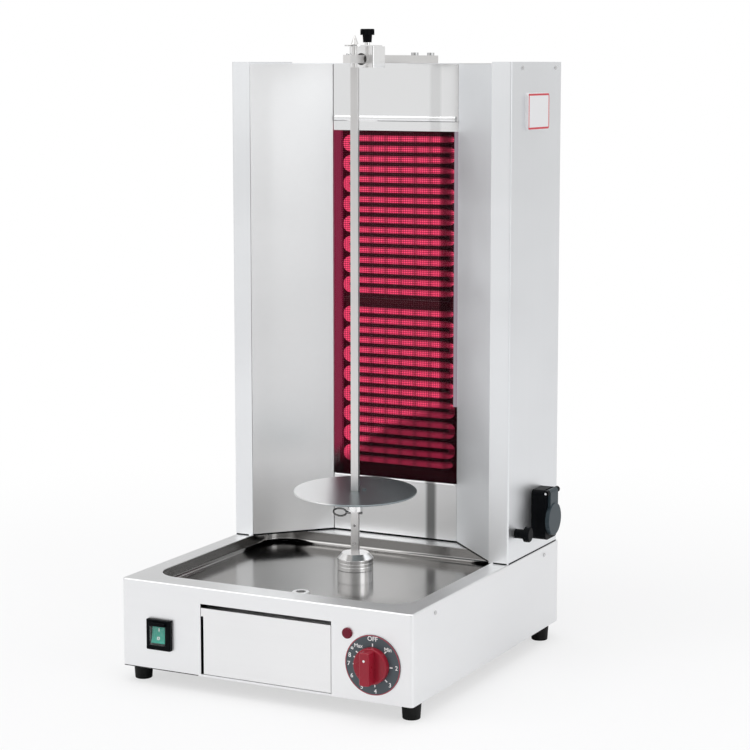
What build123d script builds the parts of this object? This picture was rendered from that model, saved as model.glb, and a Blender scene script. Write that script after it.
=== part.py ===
# Electric doner kebab grill: a steel base with a drip tray and a drawer, a heated cabinet
# behind the spit, a turning spit with its meat disc, and an arm that holds the spit's top.
# X runs to the right, Y runs from the front to the back, Z is up, all in millimetres.
# The origin lies on the table, in the middle of the whole machine's outline.
import math
import os

from build123d import *

os.makedirs("parts", exist_ok=True)

# Sheets and clearances
sheet = 1.2
thin_sheet = 1.0
seat_gap = 0.2
fit_gap = 0.08
open_gap = 0.3

# Base and cabinet, as seen from outside
base_width = 350.0
base_depth = 388.0
base_height = 97.0
foot_height = 18.0
cabinet_height = 553.0
cabinet_depth = 140.0
cabinet_setback = 240.0
bend_radius = 2.0
corner_radius = 3.5

# How far the fittings stand out at the front, the back and the side
knob_reach = 21.0
gland_reach = 11.0
socket_body_reach = 17.5
socket_lid_thickness = 4.5
side_reach = socket_body_reach + open_gap + socket_lid_thickness

# Places of the base's faces
base_left = -(base_width + side_reach) / 2
base_right = base_left + base_width
mid_x = (base_left + base_right) / 2
front_y = (knob_reach - base_depth - gland_reach) / 2
back_y = front_y + base_depth
base_z = foot_height
base_top = base_z + base_height

# Drip tray pressed into the base's top
tray_rim_side = 21.0
tray_rim_front = 27.0
tray_back = 294.0
tray_depth = 15.0
tray_corner_radius = 30.0
tray_floor_radius = 5.0
tray_floor = base_top - tray_depth
tray_left = base_left + tray_rim_side
tray_right = base_right - tray_rim_side
tray_front = front_y + tray_rim_front
tray_rear = front_y + tray_back

# Drain hole with its rolled eyelet
drain_setback = 83.0
drain_y = front_y + drain_setback
drain_bore = 11.0
drain_wall = 0.8
drain_flange = 19.0
drain_flange_thickness = 0.8
drain_length = 9.0

# Fixed collar, bush and seal on the tray, and the hub that turns above them
spit_offset = 16.5
spit_setback = 178.6
spit_x = mid_x + spit_offset
spit_y = front_y + spit_setback
spit_size = 8.3
spit_turn = 15.0
hub_diameter = 40.0
hub_height = 26.0
collar_height = 6.9
hub_groove = 0.6
hub_groove_depth = 1.0
hub_ring_height = 4.0
hub_ring_count = 3
hub_chamfer = 5.0
hub_chamfer_height = 5.6
hub_socket_depth = 12.0
shaft_diameter = 12.0
bush_wall = 2.0
seal_wall = 3.0
seal_height = 2.2

# Gearmotor that hangs under the tray
gearbox_length = 76.0
gearbox_width = 76.0
gearbox_height = 27.0
gearbox_wall = 2.5
gearbox_lid_thickness = 3.0
gearbox_corner = 6.0
gearbox_shift = 6.0
boss_diameter = 10.0
boss_length = 7.0
boss_inset = 8.0
gear_module = 1.0
wheel_teeth = 48
pinion_teeth = 12
gear_width = 8.0
gear_lift = 4.0
gear_play = 0.25
gear_root = 1.25
tooth_root_half = 0.95
tooth_tip_half = 0.32
wheel_hub_diameter = 22.0
wheel_hub_height = 4.0
motor_diameter = 52.0
motor_height = 24.0
motor_cap = 3.0
motor_shift = 8.0
motor_shaft_diameter = 5.0
screw_diameter = 4.0
screw_head_diameter = 7.2
screw_head_height = 2.0

# Spit with its cross holes, neck and point
spit_top = 644.0
spit_edge_radius = 0.5
neck_diameter = 5.0
point_base = 668.9
point_tip = 678.5
point_base_diameter = 8.0
point_tip_diameter = 1.0
cross_hole = 3.4
cross_hole_low = 118.2
cross_hole_pitch = 21.0
cross_hole_count = 2

# Meat disc on its collar, and the locking pin that carries it
disc_diameter = 137.0
disc_thickness = 2.0
disc_height = 177.3
disc_lean = 2.4
disc_lean_heading = 27.0
disc_play = 0.75
disc_collar_diameter = 16.0
tab_length = 5.0
tab_width = 1.6
tab_height = 2.0
pin_height = 152.8
pin_diameter = 3.2
pin_reach_left = 11.0
pin_reach_right = 8.0
pin_ring_diameter = 16.0
pin_ring_wire = 1.5
pin_ring_tilt = 72.0

# Top arm with its bolts and its stop
cover_drop = 1.6
arm_size = 9.0
arm_front = 160.0
neck_play = 0.3
arm_bolt_inset = 11.0
arm_bolt_spacing = 42.0
arm_bolt_diameter = 5.0
bolt_head_diameter = 8.5
bolt_head_height = 3.2
bolt_nut_height = 4.0
stop_diameter = 6.0
stop_height = 1.8
stop_inset = 5.0

# Clamp block on the arm, lock plate on the block, and the clamp screw with its knob
block_width = 30.0
block_length = 29.0
block_front = 194.0
block_height = 23.0
block_drop = 4.7
block_edge_radius = 2.0
lock_plate_width = 22.0
lock_plate_thickness = 1.4
clamp_screw_diameter = 6.0
clamp_screw_stand = 3.0
clamp_body_diameter = 10.6
clamp_body_taper = 0.6
clamp_body_height = 8.0
clamp_cap_diameter = 16.6
clamp_cap_height = 6.6
clamp_lobes = 6
clamp_lobe_radius = 3.2
clamp_cap_edge = 1.2

# Cabinet panels
strip_width = 23.5
panel_depth = 316.0
panel_left_reach = 84.0
panel_slit = 1.0
panel_right_reach = 77.0
wing_flange = 9.0
floor_gap = 2.0
upper_lip_bottom = 582.8
upper_lip_height = 5.7
upper_lip_reach = 3.0
lower_lip_height = 3.0
lower_lip_reach = 2.0
retainer_gap = 0.6
window_top = 571.5
window_bottom = 166.0
glass_thickness = 4.0
glass_overlap = 7.0
ledge_thickness = 3.0
bottom_flange = 14.0
flange_inset = 20.0
top_flange = 12.0
vent_count = 9
vent_length = 60.0
vent_height = 4.0
vent_pitch = 12.0
vent_drop = 70.0

# Heating coils behind the glass, on their insulation board and pan
coil_rows = 16
coil_pitch = 11.8
coil_diameter = 7.4
coil_left_inset = 9.0
coil_right_inset = 7.0
coil_gap = 0.4
coil_upper_top = 562.0
coil_zone_gap = 23.5
coil_lead_radius = 6.0
coil_lead_play = 1.4
divider_height = 6.0
insulation_thickness = 22.0
pan_lip = 10.0

# Grease drawer, its opening and its guide
drawer_left = -72.4
drawer_right = 81.0
drawer_bottom = 3.0
drawer_top = 74.8
opening_left = -76.0
opening_right = 81.6
opening_bottom = 2.4
opening_top = 79.2
drawer_tab_width = 3.0
drawer_tab_height = 9.0
drawer_return = 14.0
drawer_pan_inset = 4.0
drawer_pan_length = 128.0
drawer_pan_height = 46.0
drawer_pan_radius = 8.0
guide_thickness = 2.1
guide_height = 14.0

# Switch, lamp and heat control on the front
switch_x = -127.0
switch_z = 39.5
switch_width = 30.0
switch_height = 33.5
bezel_depth = 4.5
bezel_wall_x = 6.2
bezel_wall_z = 5.4
bezel_edge = 1.0
switch_cutout_x = 26.0
switch_cutout_z = 29.5
switch_body_depth = 24.0
switch_cavity_depth = 9.0
contact_width = 0.8
contact_height = 6.3
contact_length = 9.0
contact_spread_x = 12.0
contact_spread_z = 14.0
rocker_play = 0.3
rocker_half = 9.9
rocker_pivot = 3.0
rocker_front = 6.5
rocker_back = 3.0
rocker_hollow = 0.9
rocker_tilt = 9.0
rocker_axle = 2.0
lamp_x = 100.5
lamp_z = 69.3
lamp_diameter = 11.5
lamp_stem = 9.0
lamp_flange = 1.0
lamp_dome = 2.0
lamp_length = 22.0
dial_x = 129.9
dial_z = 39.3
dial_diameter = 63.0
dial_thickness = 1.0
dial_hole = 9.0
knob_diameter = 38.0
knob_skirt = 7.0
knob_grip = 11.0
knob_edge = 1.5
spindle_diameter = 6.0
spindle_grip = 12.0
spindle_seat = 10.0
regulator_width = 42.0
regulator_height = 36.0
regulator_depth = 28.0

# Socket with its hinged lid on the cabinet's right side
socket_y = 322.0
socket_bottom = 113.5
socket_top = 170.5
socket_width = 34.0
socket_corner = 6.0
socket_face_diameter = 28.0
socket_face_depth = 12.0
socket_pin_z = 167.2
socket_pin_diameter = 2.6
socket_knuckle = 3.4
socket_ear = 6.0
socket_lid_z = 136.0
socket_lid_diameter = 37.0
socket_lid_edge = 0.8
socket_rear_width = 26.0
socket_rear_height = 40.0
socket_rear_depth = 20.0

# Hand knob and badge plate on the cabinet's right side
side_knob_y = 261.0
side_knob_z = 129.0
side_knob_stem = 10.5
side_knob_stem_length = 11.5
side_knob_cap = 16.8
side_knob_cap_length = 6.5
side_stud_diameter = 6.0
side_stud_length = 14.0
badge_y = 307.0
badge_z = 595.8
badge_width = 60.0
badge_height = 40.5
badge_thickness = 4.0
badge_corner = 4.0
badge_edge = 0.8

# Feet, small screws, base floor and cable gland
foot_inset_x = 12.0
foot_inset_front = 22.0
foot_inset_rear = 26.0
foot_bottom_diameter = 18.6
foot_top_diameter = 21.0
foot_bore = 9.0
foot_bore_depth = 8.0
foot_edge = 1.2
small_head = 4.6
small_head_height = 0.9
small_shank = 3.0
small_shank_length = 6.0
base_screw_front = 52.8
base_screw_rear = 344.5
base_screw_z = 87.2
cabinet_screw_front = 268.5
cabinet_screw_rear = 362.3
cabinet_screw_drop = 6.5
flange_screw_inset = 7.0
tab_width_floor = 22.0
tab_top = 91.0
floor_flange = 12.0
floor_slot_count = 6
floor_slot_length = 60.0
floor_slot_width = 4.0
floor_slot_pitch = 10.0
floor_slot_x = 110.0
gland_x = -120.0
gland_z = 30.0
gland_thread = 15.5
gland_nut = 22.0
gland_nut_height = 6.0
gland_edge = 1.0
gland_bore = 8.0

# Places worked out from the sizes above
cabinet_front = front_y + cabinet_setback
cabinet_back = cabinet_front + cabinet_depth
cabinet_top = base_top + cabinet_height
cover_top = cabinet_top - cover_drop
cover_bottom = cover_top - thin_sheet
panel_y = front_y + panel_depth
panel_back = panel_y + thin_sheet
panel_left = mid_x - panel_left_reach
panel_right = mid_x + panel_right_reach
strip_back = cabinet_front + sheet
strip_left = base_left + strip_width
strip_right = base_right - strip_width
wall_left = base_left + sheet
wall_right = base_right - sheet
glass_back = panel_back + glass_thickness
glass_top = base_z + window_top + glass_overlap
glass_bottom = base_z + window_bottom - glass_overlap
coil_y = glass_back + coil_gap + coil_diameter / 2
coil_lower_top = coil_upper_top - (coil_rows - 1) * coil_pitch - coil_zone_gap
insulation_front = coil_y + coil_diameter / 2 + coil_gap
insulation_back = insulation_front + insulation_thickness
hub_top = tray_floor + hub_height
hub_bottom = tray_floor + collar_height + hub_groove
bush_radius = shaft_diameter / 2 + bush_wall
seal_bottom = tray_floor + collar_height - seal_height
gearbox_top = tray_floor - sheet - boss_length
gearbox_bottom = gearbox_top - gearbox_height
gearbox_x = spit_x - gearbox_shift
gear_bottom = gearbox_bottom + gearbox_wall + gear_lift
pinion_x = spit_x - gear_module * (wheel_teeth + pinion_teeth) / 2 - gear_play
motor_x = pinion_x + motor_shift
arm_bottom = cover_top
arm_top = arm_bottom + arm_size
arm_middle = (arm_bottom + arm_top) / 2
arm_tip = front_y + arm_front
arm_left = spit_x - arm_size / 2
arm_right = spit_x + arm_size / 2
notch_radius = neck_diameter / 2 + neck_play
block_y = front_y + block_front + block_length / 2
block_bottom = arm_bottom - block_drop
block_top = block_bottom + block_height
plate_top = block_top + lock_plate_thickness
drawer_x = (mid_x + drawer_left, mid_x + drawer_right)
drawer_z = (base_z + drawer_bottom, base_z + drawer_top)
guide_top = base_z + thin_sheet + guide_thickness
drawer_pan_x = (drawer_x[0] + drawer_pan_inset, drawer_x[1] - drawer_pan_inset)
drawer_pan_y = (front_y + sheet, front_y + sheet + drawer_pan_length)
switch_place = (mid_x + switch_x, base_z + switch_z)
lamp_place = (mid_x + lamp_x, base_z + lamp_z)
dial_place = (mid_x + dial_x, base_z + dial_z)
gland_place = (mid_x + gland_x, base_z + gland_z)
socket_place = (front_y + socket_y, base_z + (socket_bottom + socket_top) / 2)
side_knob_place = (front_y + side_knob_y, base_z + side_knob_z)
arm_bolt_y = cabinet_back - arm_bolt_inset
arm_bolt_places = [(spit_x, arm_bolt_y - arm_bolt_spacing), (spit_x, arm_bolt_y)]
gearbox_corners = [
    (gearbox_x + side * (gearbox_length / 2 - boss_inset), spit_y + end * (gearbox_width / 2 - boss_inset))
    for side in (-1, 1)
    for end in (-1, 1)
]
base_screw_places = [
    (front_y + base_screw_front, base_z + base_screw_z),
    (front_y + base_screw_rear, base_z + base_screw_z),
]
cabinet_screw_places = [
    (front_y + cabinet_screw_front, cabinet_top - cabinet_screw_drop),
    (front_y + cabinet_screw_rear, cabinet_top - cabinet_screw_drop),
]
flange_y = (cabinet_front + flange_inset, cabinet_back - flange_inset)
flange_screw_places = [
    (x, y)
    for x in (wall_left + flange_screw_inset, wall_right - flange_screw_inset)
    for y in (flange_y[0] + flange_screw_inset, flange_y[1] - flange_screw_inset)
]
foot_x = (base_left + foot_inset_x, base_right - foot_inset_x)
foot_y = (front_y + foot_inset_front, back_y - foot_inset_rear)
foot_places = {
    "front_left": (foot_x[0], foot_y[0]),
    "front_right": (foot_x[1], foot_y[0]),
    "back_left": (foot_x[0], foot_y[1]),
    "back_right": (foot_x[1], foot_y[1]),
}


def block(x_range, y_range, z_range, mode=Mode.ADD):
    """A box given by its two ends along each axis."""
    low = Vector(min(x_range), min(y_range), min(z_range))
    high = Vector(max(x_range), max(y_range), max(z_range))
    size = high - low
    with Locations((low + high) / 2):
        Box(size.X, size.Y, size.Z, mode=mode)


def pillar(x, y, z, diameter, height, mode=Mode.ADD):
    """A round pillar that stands on height z."""
    with Locations((x, y, z)):
        Cylinder(diameter / 2, height, align=(Align.CENTER, Align.CENTER, Align.MIN), mode=mode)


def front_plane(y):
    """A plane that faces the front, with its X to the right and its Y up."""
    return Plane(origin=(0, y, 0), x_dir=(1, 0, 0), z_dir=(0, -1, 0))


def side_plane(x):
    """A plane that faces the right, with its X to the back and its Y up."""
    return Plane(origin=(x, 0, 0), x_dir=(0, 1, 0), z_dir=(1, 0, 0))


def rod(plane, places, diameter, length, mode=Mode.ADD):
    """Round rods from a plane, one at each place on it."""
    with BuildSketch(plane) as ends:
        with Locations(*places):
            Circle(diameter / 2)
    extrude(ends.sketch, amount=length, mode=mode)


def keep(piece, name):
    """Label a finished piece and write it."""
    piece.part.label = name
    export_step(piece.part, "parts/" + name + ".step")


# Base shell: one sheet with the drip tray pressed into its top
def tray_form(grow, floor):
    """The tray's hollow, or its outside when grown by the sheet."""
    with BuildPart() as form:
        with BuildSketch(Plane.XY.offset(floor)):
            with Locations(((tray_left + tray_right) / 2, (tray_front + tray_rear) / 2)):
                RectangleRounded(
                    tray_right - tray_left + 2 * grow,
                    tray_rear - tray_front + 2 * grow,
                    tray_corner_radius + grow,
                )
        extrude(amount=tray_depth)
        fillet(form.faces().sort_by(Axis.Z)[0].edges(), tray_floor_radius + grow)
    return form.part


tray_hollow = tray_form(0, tray_floor)
tray_outside = tray_form(sheet, tray_floor - sheet)
drain_hole = drain_bore + 2 * drain_wall
bush_hole = 2 * (bush_radius + fit_gap)
small_hole = small_shank + 2 * fit_gap
with BuildPart() as base_shell:
    block((base_left, base_right), (front_y, back_y), (base_z, base_top))
    fillet(base_shell.edges().filter_by(Axis.Z), corner_radius)
    fillet(base_shell.faces().sort_by(Axis.Z)[-1].edges(), bend_radius)
    with BuildSketch(Plane.XY.offset(base_z)):
        with Locations((mid_x, (front_y + back_y) / 2)):
            RectangleRounded(base_width - 2 * sheet, base_depth - 2 * sheet, corner_radius - sheet)
    extrude(amount=base_height - sheet, mode=Mode.SUBTRACT)
    add(tray_outside)
    add(tray_hollow, mode=Mode.SUBTRACT)
    pillar(mid_x, drain_y, tray_floor - 2 * sheet, drain_hole, 3 * sheet, Mode.SUBTRACT)
    pillar(spit_x, spit_y, tray_floor - 2 * sheet, bush_hole, 3 * sheet, Mode.SUBTRACT)
    for x, y in flange_screw_places:
        pillar(x, y, base_top - 2 * sheet, small_hole, 3 * sheet, Mode.SUBTRACT)
    block(
        (mid_x + opening_left, mid_x + opening_right),
        (front_y - sheet, front_y + 2 * sheet),
        (base_z + opening_bottom, base_z + opening_top),
        Mode.SUBTRACT,
    )
    with BuildSketch(front_plane(front_y - sheet)):
        with Locations(switch_place):
            Rectangle(switch_cutout_x, switch_cutout_z)
        with Locations(lamp_place):
            Circle(lamp_stem / 2 + fit_gap)
        with Locations(dial_place):
            Circle(dial_hole / 2)
    extrude(amount=-3 * sheet, mode=Mode.SUBTRACT)
    wall_span = base_width + 2 * sheet
    rod(side_plane(base_left - sheet), base_screw_places, small_hole, wall_span, Mode.SUBTRACT)
    rod(front_plane(back_y + sheet), [gland_place], gland_thread + 2 * fit_gap, 3 * sheet, Mode.SUBTRACT)
keep(base_shell, "base_shell")

# Base floor: a plate with raised edges, four tall tabs for the side screws, and vents
floor_left = wall_left + seat_gap
floor_right = wall_right - seat_gap
floor_front = front_y + sheet + seat_gap
floor_rear = back_y - sheet - seat_gap
with BuildPart() as base_floor:
    with BuildSketch(Plane.XY.offset(base_z)):
        with Locations((mid_x, (floor_front + floor_rear) / 2)):
            RectangleRounded(floor_right - floor_left, floor_rear - floor_front, corner_radius - sheet)
    extrude(amount=thin_sheet)
    for wall in ((floor_left, floor_left + thin_sheet), (floor_right - thin_sheet, floor_right)):
        edge_y = (floor_front + corner_radius, floor_rear - corner_radius)
        block(wall, edge_y, (base_z, base_z + floor_flange))
        for y, z in base_screw_places:
            tab_y = (y - tab_width_floor / 2, y + tab_width_floor / 2)
            block(wall, tab_y, (base_z, base_z + tab_top))
    rod(side_plane(base_left), base_screw_places, small_hole, base_width, Mode.SUBTRACT)
    with BuildSketch(Plane.XY.offset(base_z)):
        with Locations(*foot_places.values()):
            Circle(screw_diameter / 2)
        for side in (-1, 1):
            with Locations((mid_x + side * floor_slot_x, (front_y + back_y) / 2)):
                with GridLocations(0, floor_slot_pitch, 1, floor_slot_count):
                    SlotOverall(floor_slot_length, floor_slot_width)
    extrude(amount=thin_sheet, mode=Mode.SUBTRACT)
keep(base_floor, "base_floor")

# Four tapered rubber feet, each held by a screw from below
for name, (x, y) in foot_places.items():
    with BuildPart() as foot:
        with Locations((x, y, 0)):
            Cone(
                foot_bottom_diameter / 2, foot_top_diameter / 2, foot_height,
                align=(Align.CENTER, Align.CENTER, Align.MIN),
            )
        fillet(foot.faces().sort_by(Axis.Z)[0].edges(), foot_edge)
        pillar(x, y, 0, foot_bore, foot_bore_depth, Mode.SUBTRACT)
        pillar(x, y, 0, screw_diameter, foot_height, Mode.SUBTRACT)
    keep(foot, "foot_" + name)

with BuildPart() as foot_screws:
    for x, y in foot_places.values():
        shank = foot_height - foot_bore_depth + thin_sheet + bolt_nut_height
        pillar(x, y, foot_bore_depth - screw_head_height, screw_head_diameter, screw_head_height)
        pillar(x, y, foot_bore_depth, screw_diameter - fit_gap, shank)
        pillar(x, y, foot_height + thin_sheet, screw_head_diameter, bolt_nut_height)
keep(foot_screws, "foot_screws")

# Rolled eyelet in the drain hole
with BuildPart() as drain_eyelet:
    pillar(mid_x, drain_y, tray_floor, drain_flange, drain_flange_thickness)
    fillet(drain_eyelet.faces().sort_by(Axis.Z)[-1].edges(), drain_flange_thickness / 2)
    eyelet_foot = tray_floor - drain_length
    pillar(mid_x, drain_y, eyelet_foot, drain_hole - 2 * fit_gap, drain_length)
    pillar(mid_x, drain_y, eyelet_foot, drain_bore, drain_length + sheet, Mode.SUBTRACT)
keep(drain_eyelet, "drain_eyelet")

# Fixed collar on the tray, the bush through it and the seal on top of the bush
seal_diameter = 2 * (bush_radius + seal_wall)
with BuildPart() as hub_collar:
    pillar(spit_x, spit_y, tray_floor, hub_diameter, collar_height)
    pillar(spit_x, spit_y, tray_floor, bush_hole, collar_height, Mode.SUBTRACT)
    pillar(spit_x, spit_y, seal_bottom, seal_diameter, seal_height, Mode.SUBTRACT)
keep(hub_collar, "hub_collar")

running_bore = shaft_diameter + 2 * fit_gap
with BuildPart() as shaft_bush:
    pillar(spit_x, spit_y, gearbox_top, 2 * bush_radius, seal_bottom - gearbox_top)
    pillar(spit_x, spit_y, gearbox_top, running_bore, seal_bottom - gearbox_top, Mode.SUBTRACT)
keep(shaft_bush, "shaft_bush")

with BuildPart() as shaft_seal:
    pillar(spit_x, spit_y, seal_bottom, seal_diameter - 2 * fit_gap, seal_height)
    pillar(spit_x, spit_y, seal_bottom, running_bore, seal_height, Mode.SUBTRACT)
keep(shaft_seal, "shaft_seal")

# Drive hub: a grooved cap with a square socket, turned in one piece with its shaft
with BuildPart() as drive_hub:
    pillar(spit_x, spit_y, hub_bottom, hub_diameter, hub_top - hub_bottom)
    chamfer(drive_hub.faces().sort_by(Axis.Z)[-1].edges(), hub_chamfer_height, hub_chamfer)
    for ring in range(1, hub_ring_count + 1):
        with BuildSketch(Plane.XY.offset(hub_bottom + ring * hub_ring_height)):
            with Locations((spit_x, spit_y)):
                Circle(hub_diameter / 2 + hub_groove_depth)
                Circle(hub_diameter / 2 - hub_groove_depth, mode=Mode.SUBTRACT)
        extrude(amount=hub_groove, mode=Mode.SUBTRACT)
    with BuildSketch(Plane.XY.offset(hub_top)):
        with Locations(Location((spit_x, spit_y), spit_turn)):
            Rectangle(spit_size + 2 * fit_gap, spit_size + 2 * fit_gap)
    extrude(amount=-hub_socket_depth, mode=Mode.SUBTRACT)
    shaft_bottom = gearbox_bottom + gearbox_wall + open_gap
    pillar(spit_x, spit_y, shaft_bottom, shaft_diameter, hub_bottom - shaft_bottom)
keep(drive_hub, "drive_hub")


def gear(x, y, teeth, turn):
    """A spur gear with straight-flanked teeth."""
    pitch_radius = gear_module * teeth / 2
    root = pitch_radius - gear_root * gear_module
    tip = pitch_radius + gear_module
    with BuildSketch(Plane(origin=(x, y, gear_bottom)).rotated((0, 0, turn))) as outline:
        Circle(root)
        with PolarLocations(0, teeth):
            Polygon(
                (root - gear_module, -tooth_root_half * gear_module),
                (root, -tooth_root_half * gear_module),
                (tip, -tooth_tip_half * gear_module),
                (tip, tooth_tip_half * gear_module),
                (root, tooth_root_half * gear_module),
                (root - gear_module, tooth_root_half * gear_module),
                align=None,
            )
    extrude(outline.sketch, amount=gear_width)


# Gear pair: the wheel on the hub's shaft, and the pinion cut on the motor's shaft
with BuildPart() as drive_wheel:
    gear(spit_x, spit_y, wheel_teeth, 0)
    wheel_height = gear_width + wheel_hub_height
    pillar(spit_x, spit_y, gear_bottom, wheel_hub_diameter, wheel_height)
    pillar(spit_x, spit_y, gear_bottom, shaft_diameter, wheel_height, Mode.SUBTRACT)
keep(drive_wheel, "drive_wheel")

with BuildPart() as motor_pinion:
    gear(pinion_x, spit_y, pinion_teeth, 180.0 / pinion_teeth)
    pinion_foot = gearbox_bottom - motor_height + motor_cap
    pillar(pinion_x, spit_y, pinion_foot, motor_shaft_diameter, gear_bottom - pinion_foot)
keep(motor_pinion, "motor_pinion")

# Gearbox: a cup with corner posts, a lid with bosses up to the tray, and the studs and nuts
# that hang it under the tray
motor_shaft_hole = motor_shaft_diameter + 2 * fit_gap
with BuildPart() as gearbox_case:
    with BuildSketch(Plane.XY.offset(gearbox_bottom)):
        with Locations((gearbox_x, spit_y)):
            RectangleRounded(gearbox_length, gearbox_width, gearbox_corner)
    extrude(amount=gearbox_height - gearbox_lid_thickness)
    with BuildSketch(Plane.XY.offset(gearbox_bottom + gearbox_wall)):
        with Locations((gearbox_x, spit_y)):
            RectangleRounded(
                gearbox_length - 2 * gearbox_wall,
                gearbox_width - 2 * gearbox_wall,
                gearbox_corner - gearbox_wall,
            )
    extrude(amount=gearbox_height, mode=Mode.SUBTRACT)
    for x, y in gearbox_corners:
        pillar(x, y, gearbox_bottom, boss_diameter, gearbox_height - gearbox_lid_thickness)
        pillar(x, y, gearbox_bottom, screw_diameter, gearbox_height, Mode.SUBTRACT)
    pillar(pinion_x, spit_y, gearbox_bottom, motor_shaft_hole, gearbox_wall, Mode.SUBTRACT)
keep(gearbox_case, "gearbox_case")

with BuildPart() as gearbox_lid:
    lid_bottom = gearbox_top - gearbox_lid_thickness
    with BuildSketch(Plane.XY.offset(lid_bottom)):
        with Locations((gearbox_x, spit_y)):
            RectangleRounded(gearbox_length, gearbox_width, gearbox_corner)
    extrude(amount=gearbox_lid_thickness)
    for x, y in gearbox_corners:
        pillar(x, y, gearbox_top, boss_diameter, boss_length)
        pillar(x, y, lid_bottom, screw_diameter, gearbox_lid_thickness + boss_length, Mode.SUBTRACT)
    pillar(spit_x, spit_y, lid_bottom, running_bore, gearbox_lid_thickness, Mode.SUBTRACT)
keep(gearbox_lid, "gearbox_lid")

nut_bottom = gearbox_bottom - bolt_nut_height
with BuildPart() as gearbox_studs:
    for x, y in gearbox_corners:
        pillar(x, y, gearbox_bottom, screw_diameter - fit_gap, tray_floor - sheet - gearbox_bottom)
        pillar(x, y, nut_bottom, screw_head_diameter, bolt_nut_height)
keep(gearbox_studs, "gearbox_studs")

with BuildPart() as motor_can:
    pillar(motor_x, spit_y, gearbox_bottom - motor_height, motor_diameter, motor_height)
    fillet(motor_can.faces().sort_by(Axis.Z)[0].edges(), motor_cap)
    bore_foot = pinion_foot - open_gap
    pillar(pinion_x, spit_y, bore_foot, motor_shaft_hole, motor_height, Mode.SUBTRACT)
    nut_room = screw_head_diameter + 2 * open_gap
    for x, y in gearbox_corners:
        pillar(x, y, nut_bottom - open_gap, nut_room, motor_height, Mode.SUBTRACT)
keep(motor_can, "motor_can")

# Spit: a square bar with cross holes, a round neck and a point
spit_foot = hub_top - hub_socket_depth
turn = math.radians(spit_turn)
spit_front = Plane(
    origin=(spit_x, spit_y, base_z),
    x_dir=(math.cos(turn), math.sin(turn), 0),
    z_dir=(math.sin(turn), -math.cos(turn), 0),
)
spit_side = Plane(origin=spit_front.origin, x_dir=spit_front.z_dir * -1, z_dir=spit_front.x_dir)
with BuildPart() as spit_bar:
    with BuildSketch(Plane.XY.offset(spit_foot)):
        with Locations(Location((spit_x, spit_y), spit_turn)):
            RectangleRounded(spit_size, spit_size, spit_edge_radius)
    extrude(amount=base_z + spit_top - spit_foot)
    pillar(spit_x, spit_y, base_z + spit_top, neck_diameter, point_base - spit_top)
    with Locations((spit_x, spit_y, base_z + point_base)):
        Cone(
            point_base_diameter / 2, point_tip_diameter / 2, point_tip - point_base,
            align=(Align.CENTER, Align.CENTER, Align.MIN),
        )
    with BuildSketch(spit_front):
        for step in range(cross_hole_count):
            with Locations((0, cross_hole_low + step * cross_hole_pitch)):
                Circle(cross_hole / 2)
    extrude(amount=spit_size, both=True, mode=Mode.SUBTRACT)
    with BuildSketch(spit_side):
        with Locations((0, pin_height)):
            Circle(pin_diameter / 2 + fit_gap)
    extrude(amount=spit_size, both=True, mode=Mode.SUBTRACT)
keep(spit_bar, "spit_bar")

# Locking pin across the spit, with its pull ring at the left
with BuildPart() as locking_pin:
    with BuildSketch(spit_side.offset(-pin_reach_left)):
        with Locations((0, pin_height)):
            Circle(pin_diameter / 2)
    extrude(amount=pin_reach_left + pin_reach_right)
    ring_middle = pin_reach_left + pin_ring_diameter / 2 - pin_ring_wire
    ring_centre = spit_front.from_local_coords(Vector(-ring_middle, pin_height, 0))
    ring_plane = Plane(ring_centre, x_dir=spit_front.x_dir, z_dir=spit_front.z_dir)
    with BuildSketch(ring_plane.rotated((-pin_ring_tilt, 0, 0))):
        Circle(pin_ring_diameter / 2)
        Circle(pin_ring_diameter / 2 - pin_ring_wire, mode=Mode.SUBTRACT)
    extrude(amount=pin_ring_wire / 2, both=True)
keep(locking_pin, "locking_pin")

# Meat disc and its collar, leaning a little on the locking pin
heading = math.radians(disc_lean_heading)
lean = math.radians(disc_lean)
collar_length = disc_height - pin_height - pin_diameter / 2 - disc_thickness / 2
lean_shift = math.sin(lean) * collar_length / 2
disc_plane = Plane(
    origin=(
        spit_x + math.sin(heading) * lean_shift,
        spit_y - math.cos(heading) * lean_shift,
        base_z + disc_height,
    ),
    x_dir=(math.cos(heading), math.sin(heading), 0),
    z_dir=(math.sin(heading) * math.sin(lean), -math.cos(heading) * math.sin(lean), math.cos(lean)),
)
disc_bore = spit_size + 2 * disc_play
bore_turn = spit_turn - disc_lean_heading
with BuildPart() as meat_disc:
    with BuildSketch(disc_plane.offset(-disc_thickness / 2)):
        Circle(disc_diameter / 2)
    extrude(amount=disc_thickness)
    fillet(meat_disc.faces().filter_by(GeomType.PLANE).edges(), disc_thickness / 3)
    with BuildSketch(disc_plane.offset(disc_thickness / 2)):
        with Locations((disc_bore / 2 + tab_length, 0)):
            Rectangle(tab_length, tab_width)
    extrude(amount=tab_height)
    with BuildSketch(disc_plane):
        Rectangle(disc_bore, disc_bore, rotation=bore_turn)
    extrude(amount=disc_thickness, both=True, mode=Mode.SUBTRACT)
keep(meat_disc, "meat_disc")

pin_top = base_z + pin_height + pin_diameter / 2 + open_gap
with BuildPart() as disc_collar:
    with BuildSketch(disc_plane.offset(-disc_thickness / 2)):
        Circle(disc_collar_diameter / 2)
        Rectangle(disc_bore, disc_bore, rotation=bore_turn, mode=Mode.SUBTRACT)
    extrude(amount=-collar_length)
    block(
        (spit_x - disc_diameter, spit_x + disc_diameter),
        (spit_y - disc_diameter, spit_y + disc_diameter),
        (tray_floor, pin_top),
        Mode.SUBTRACT,
    )
keep(disc_collar, "disc_collar")

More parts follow.
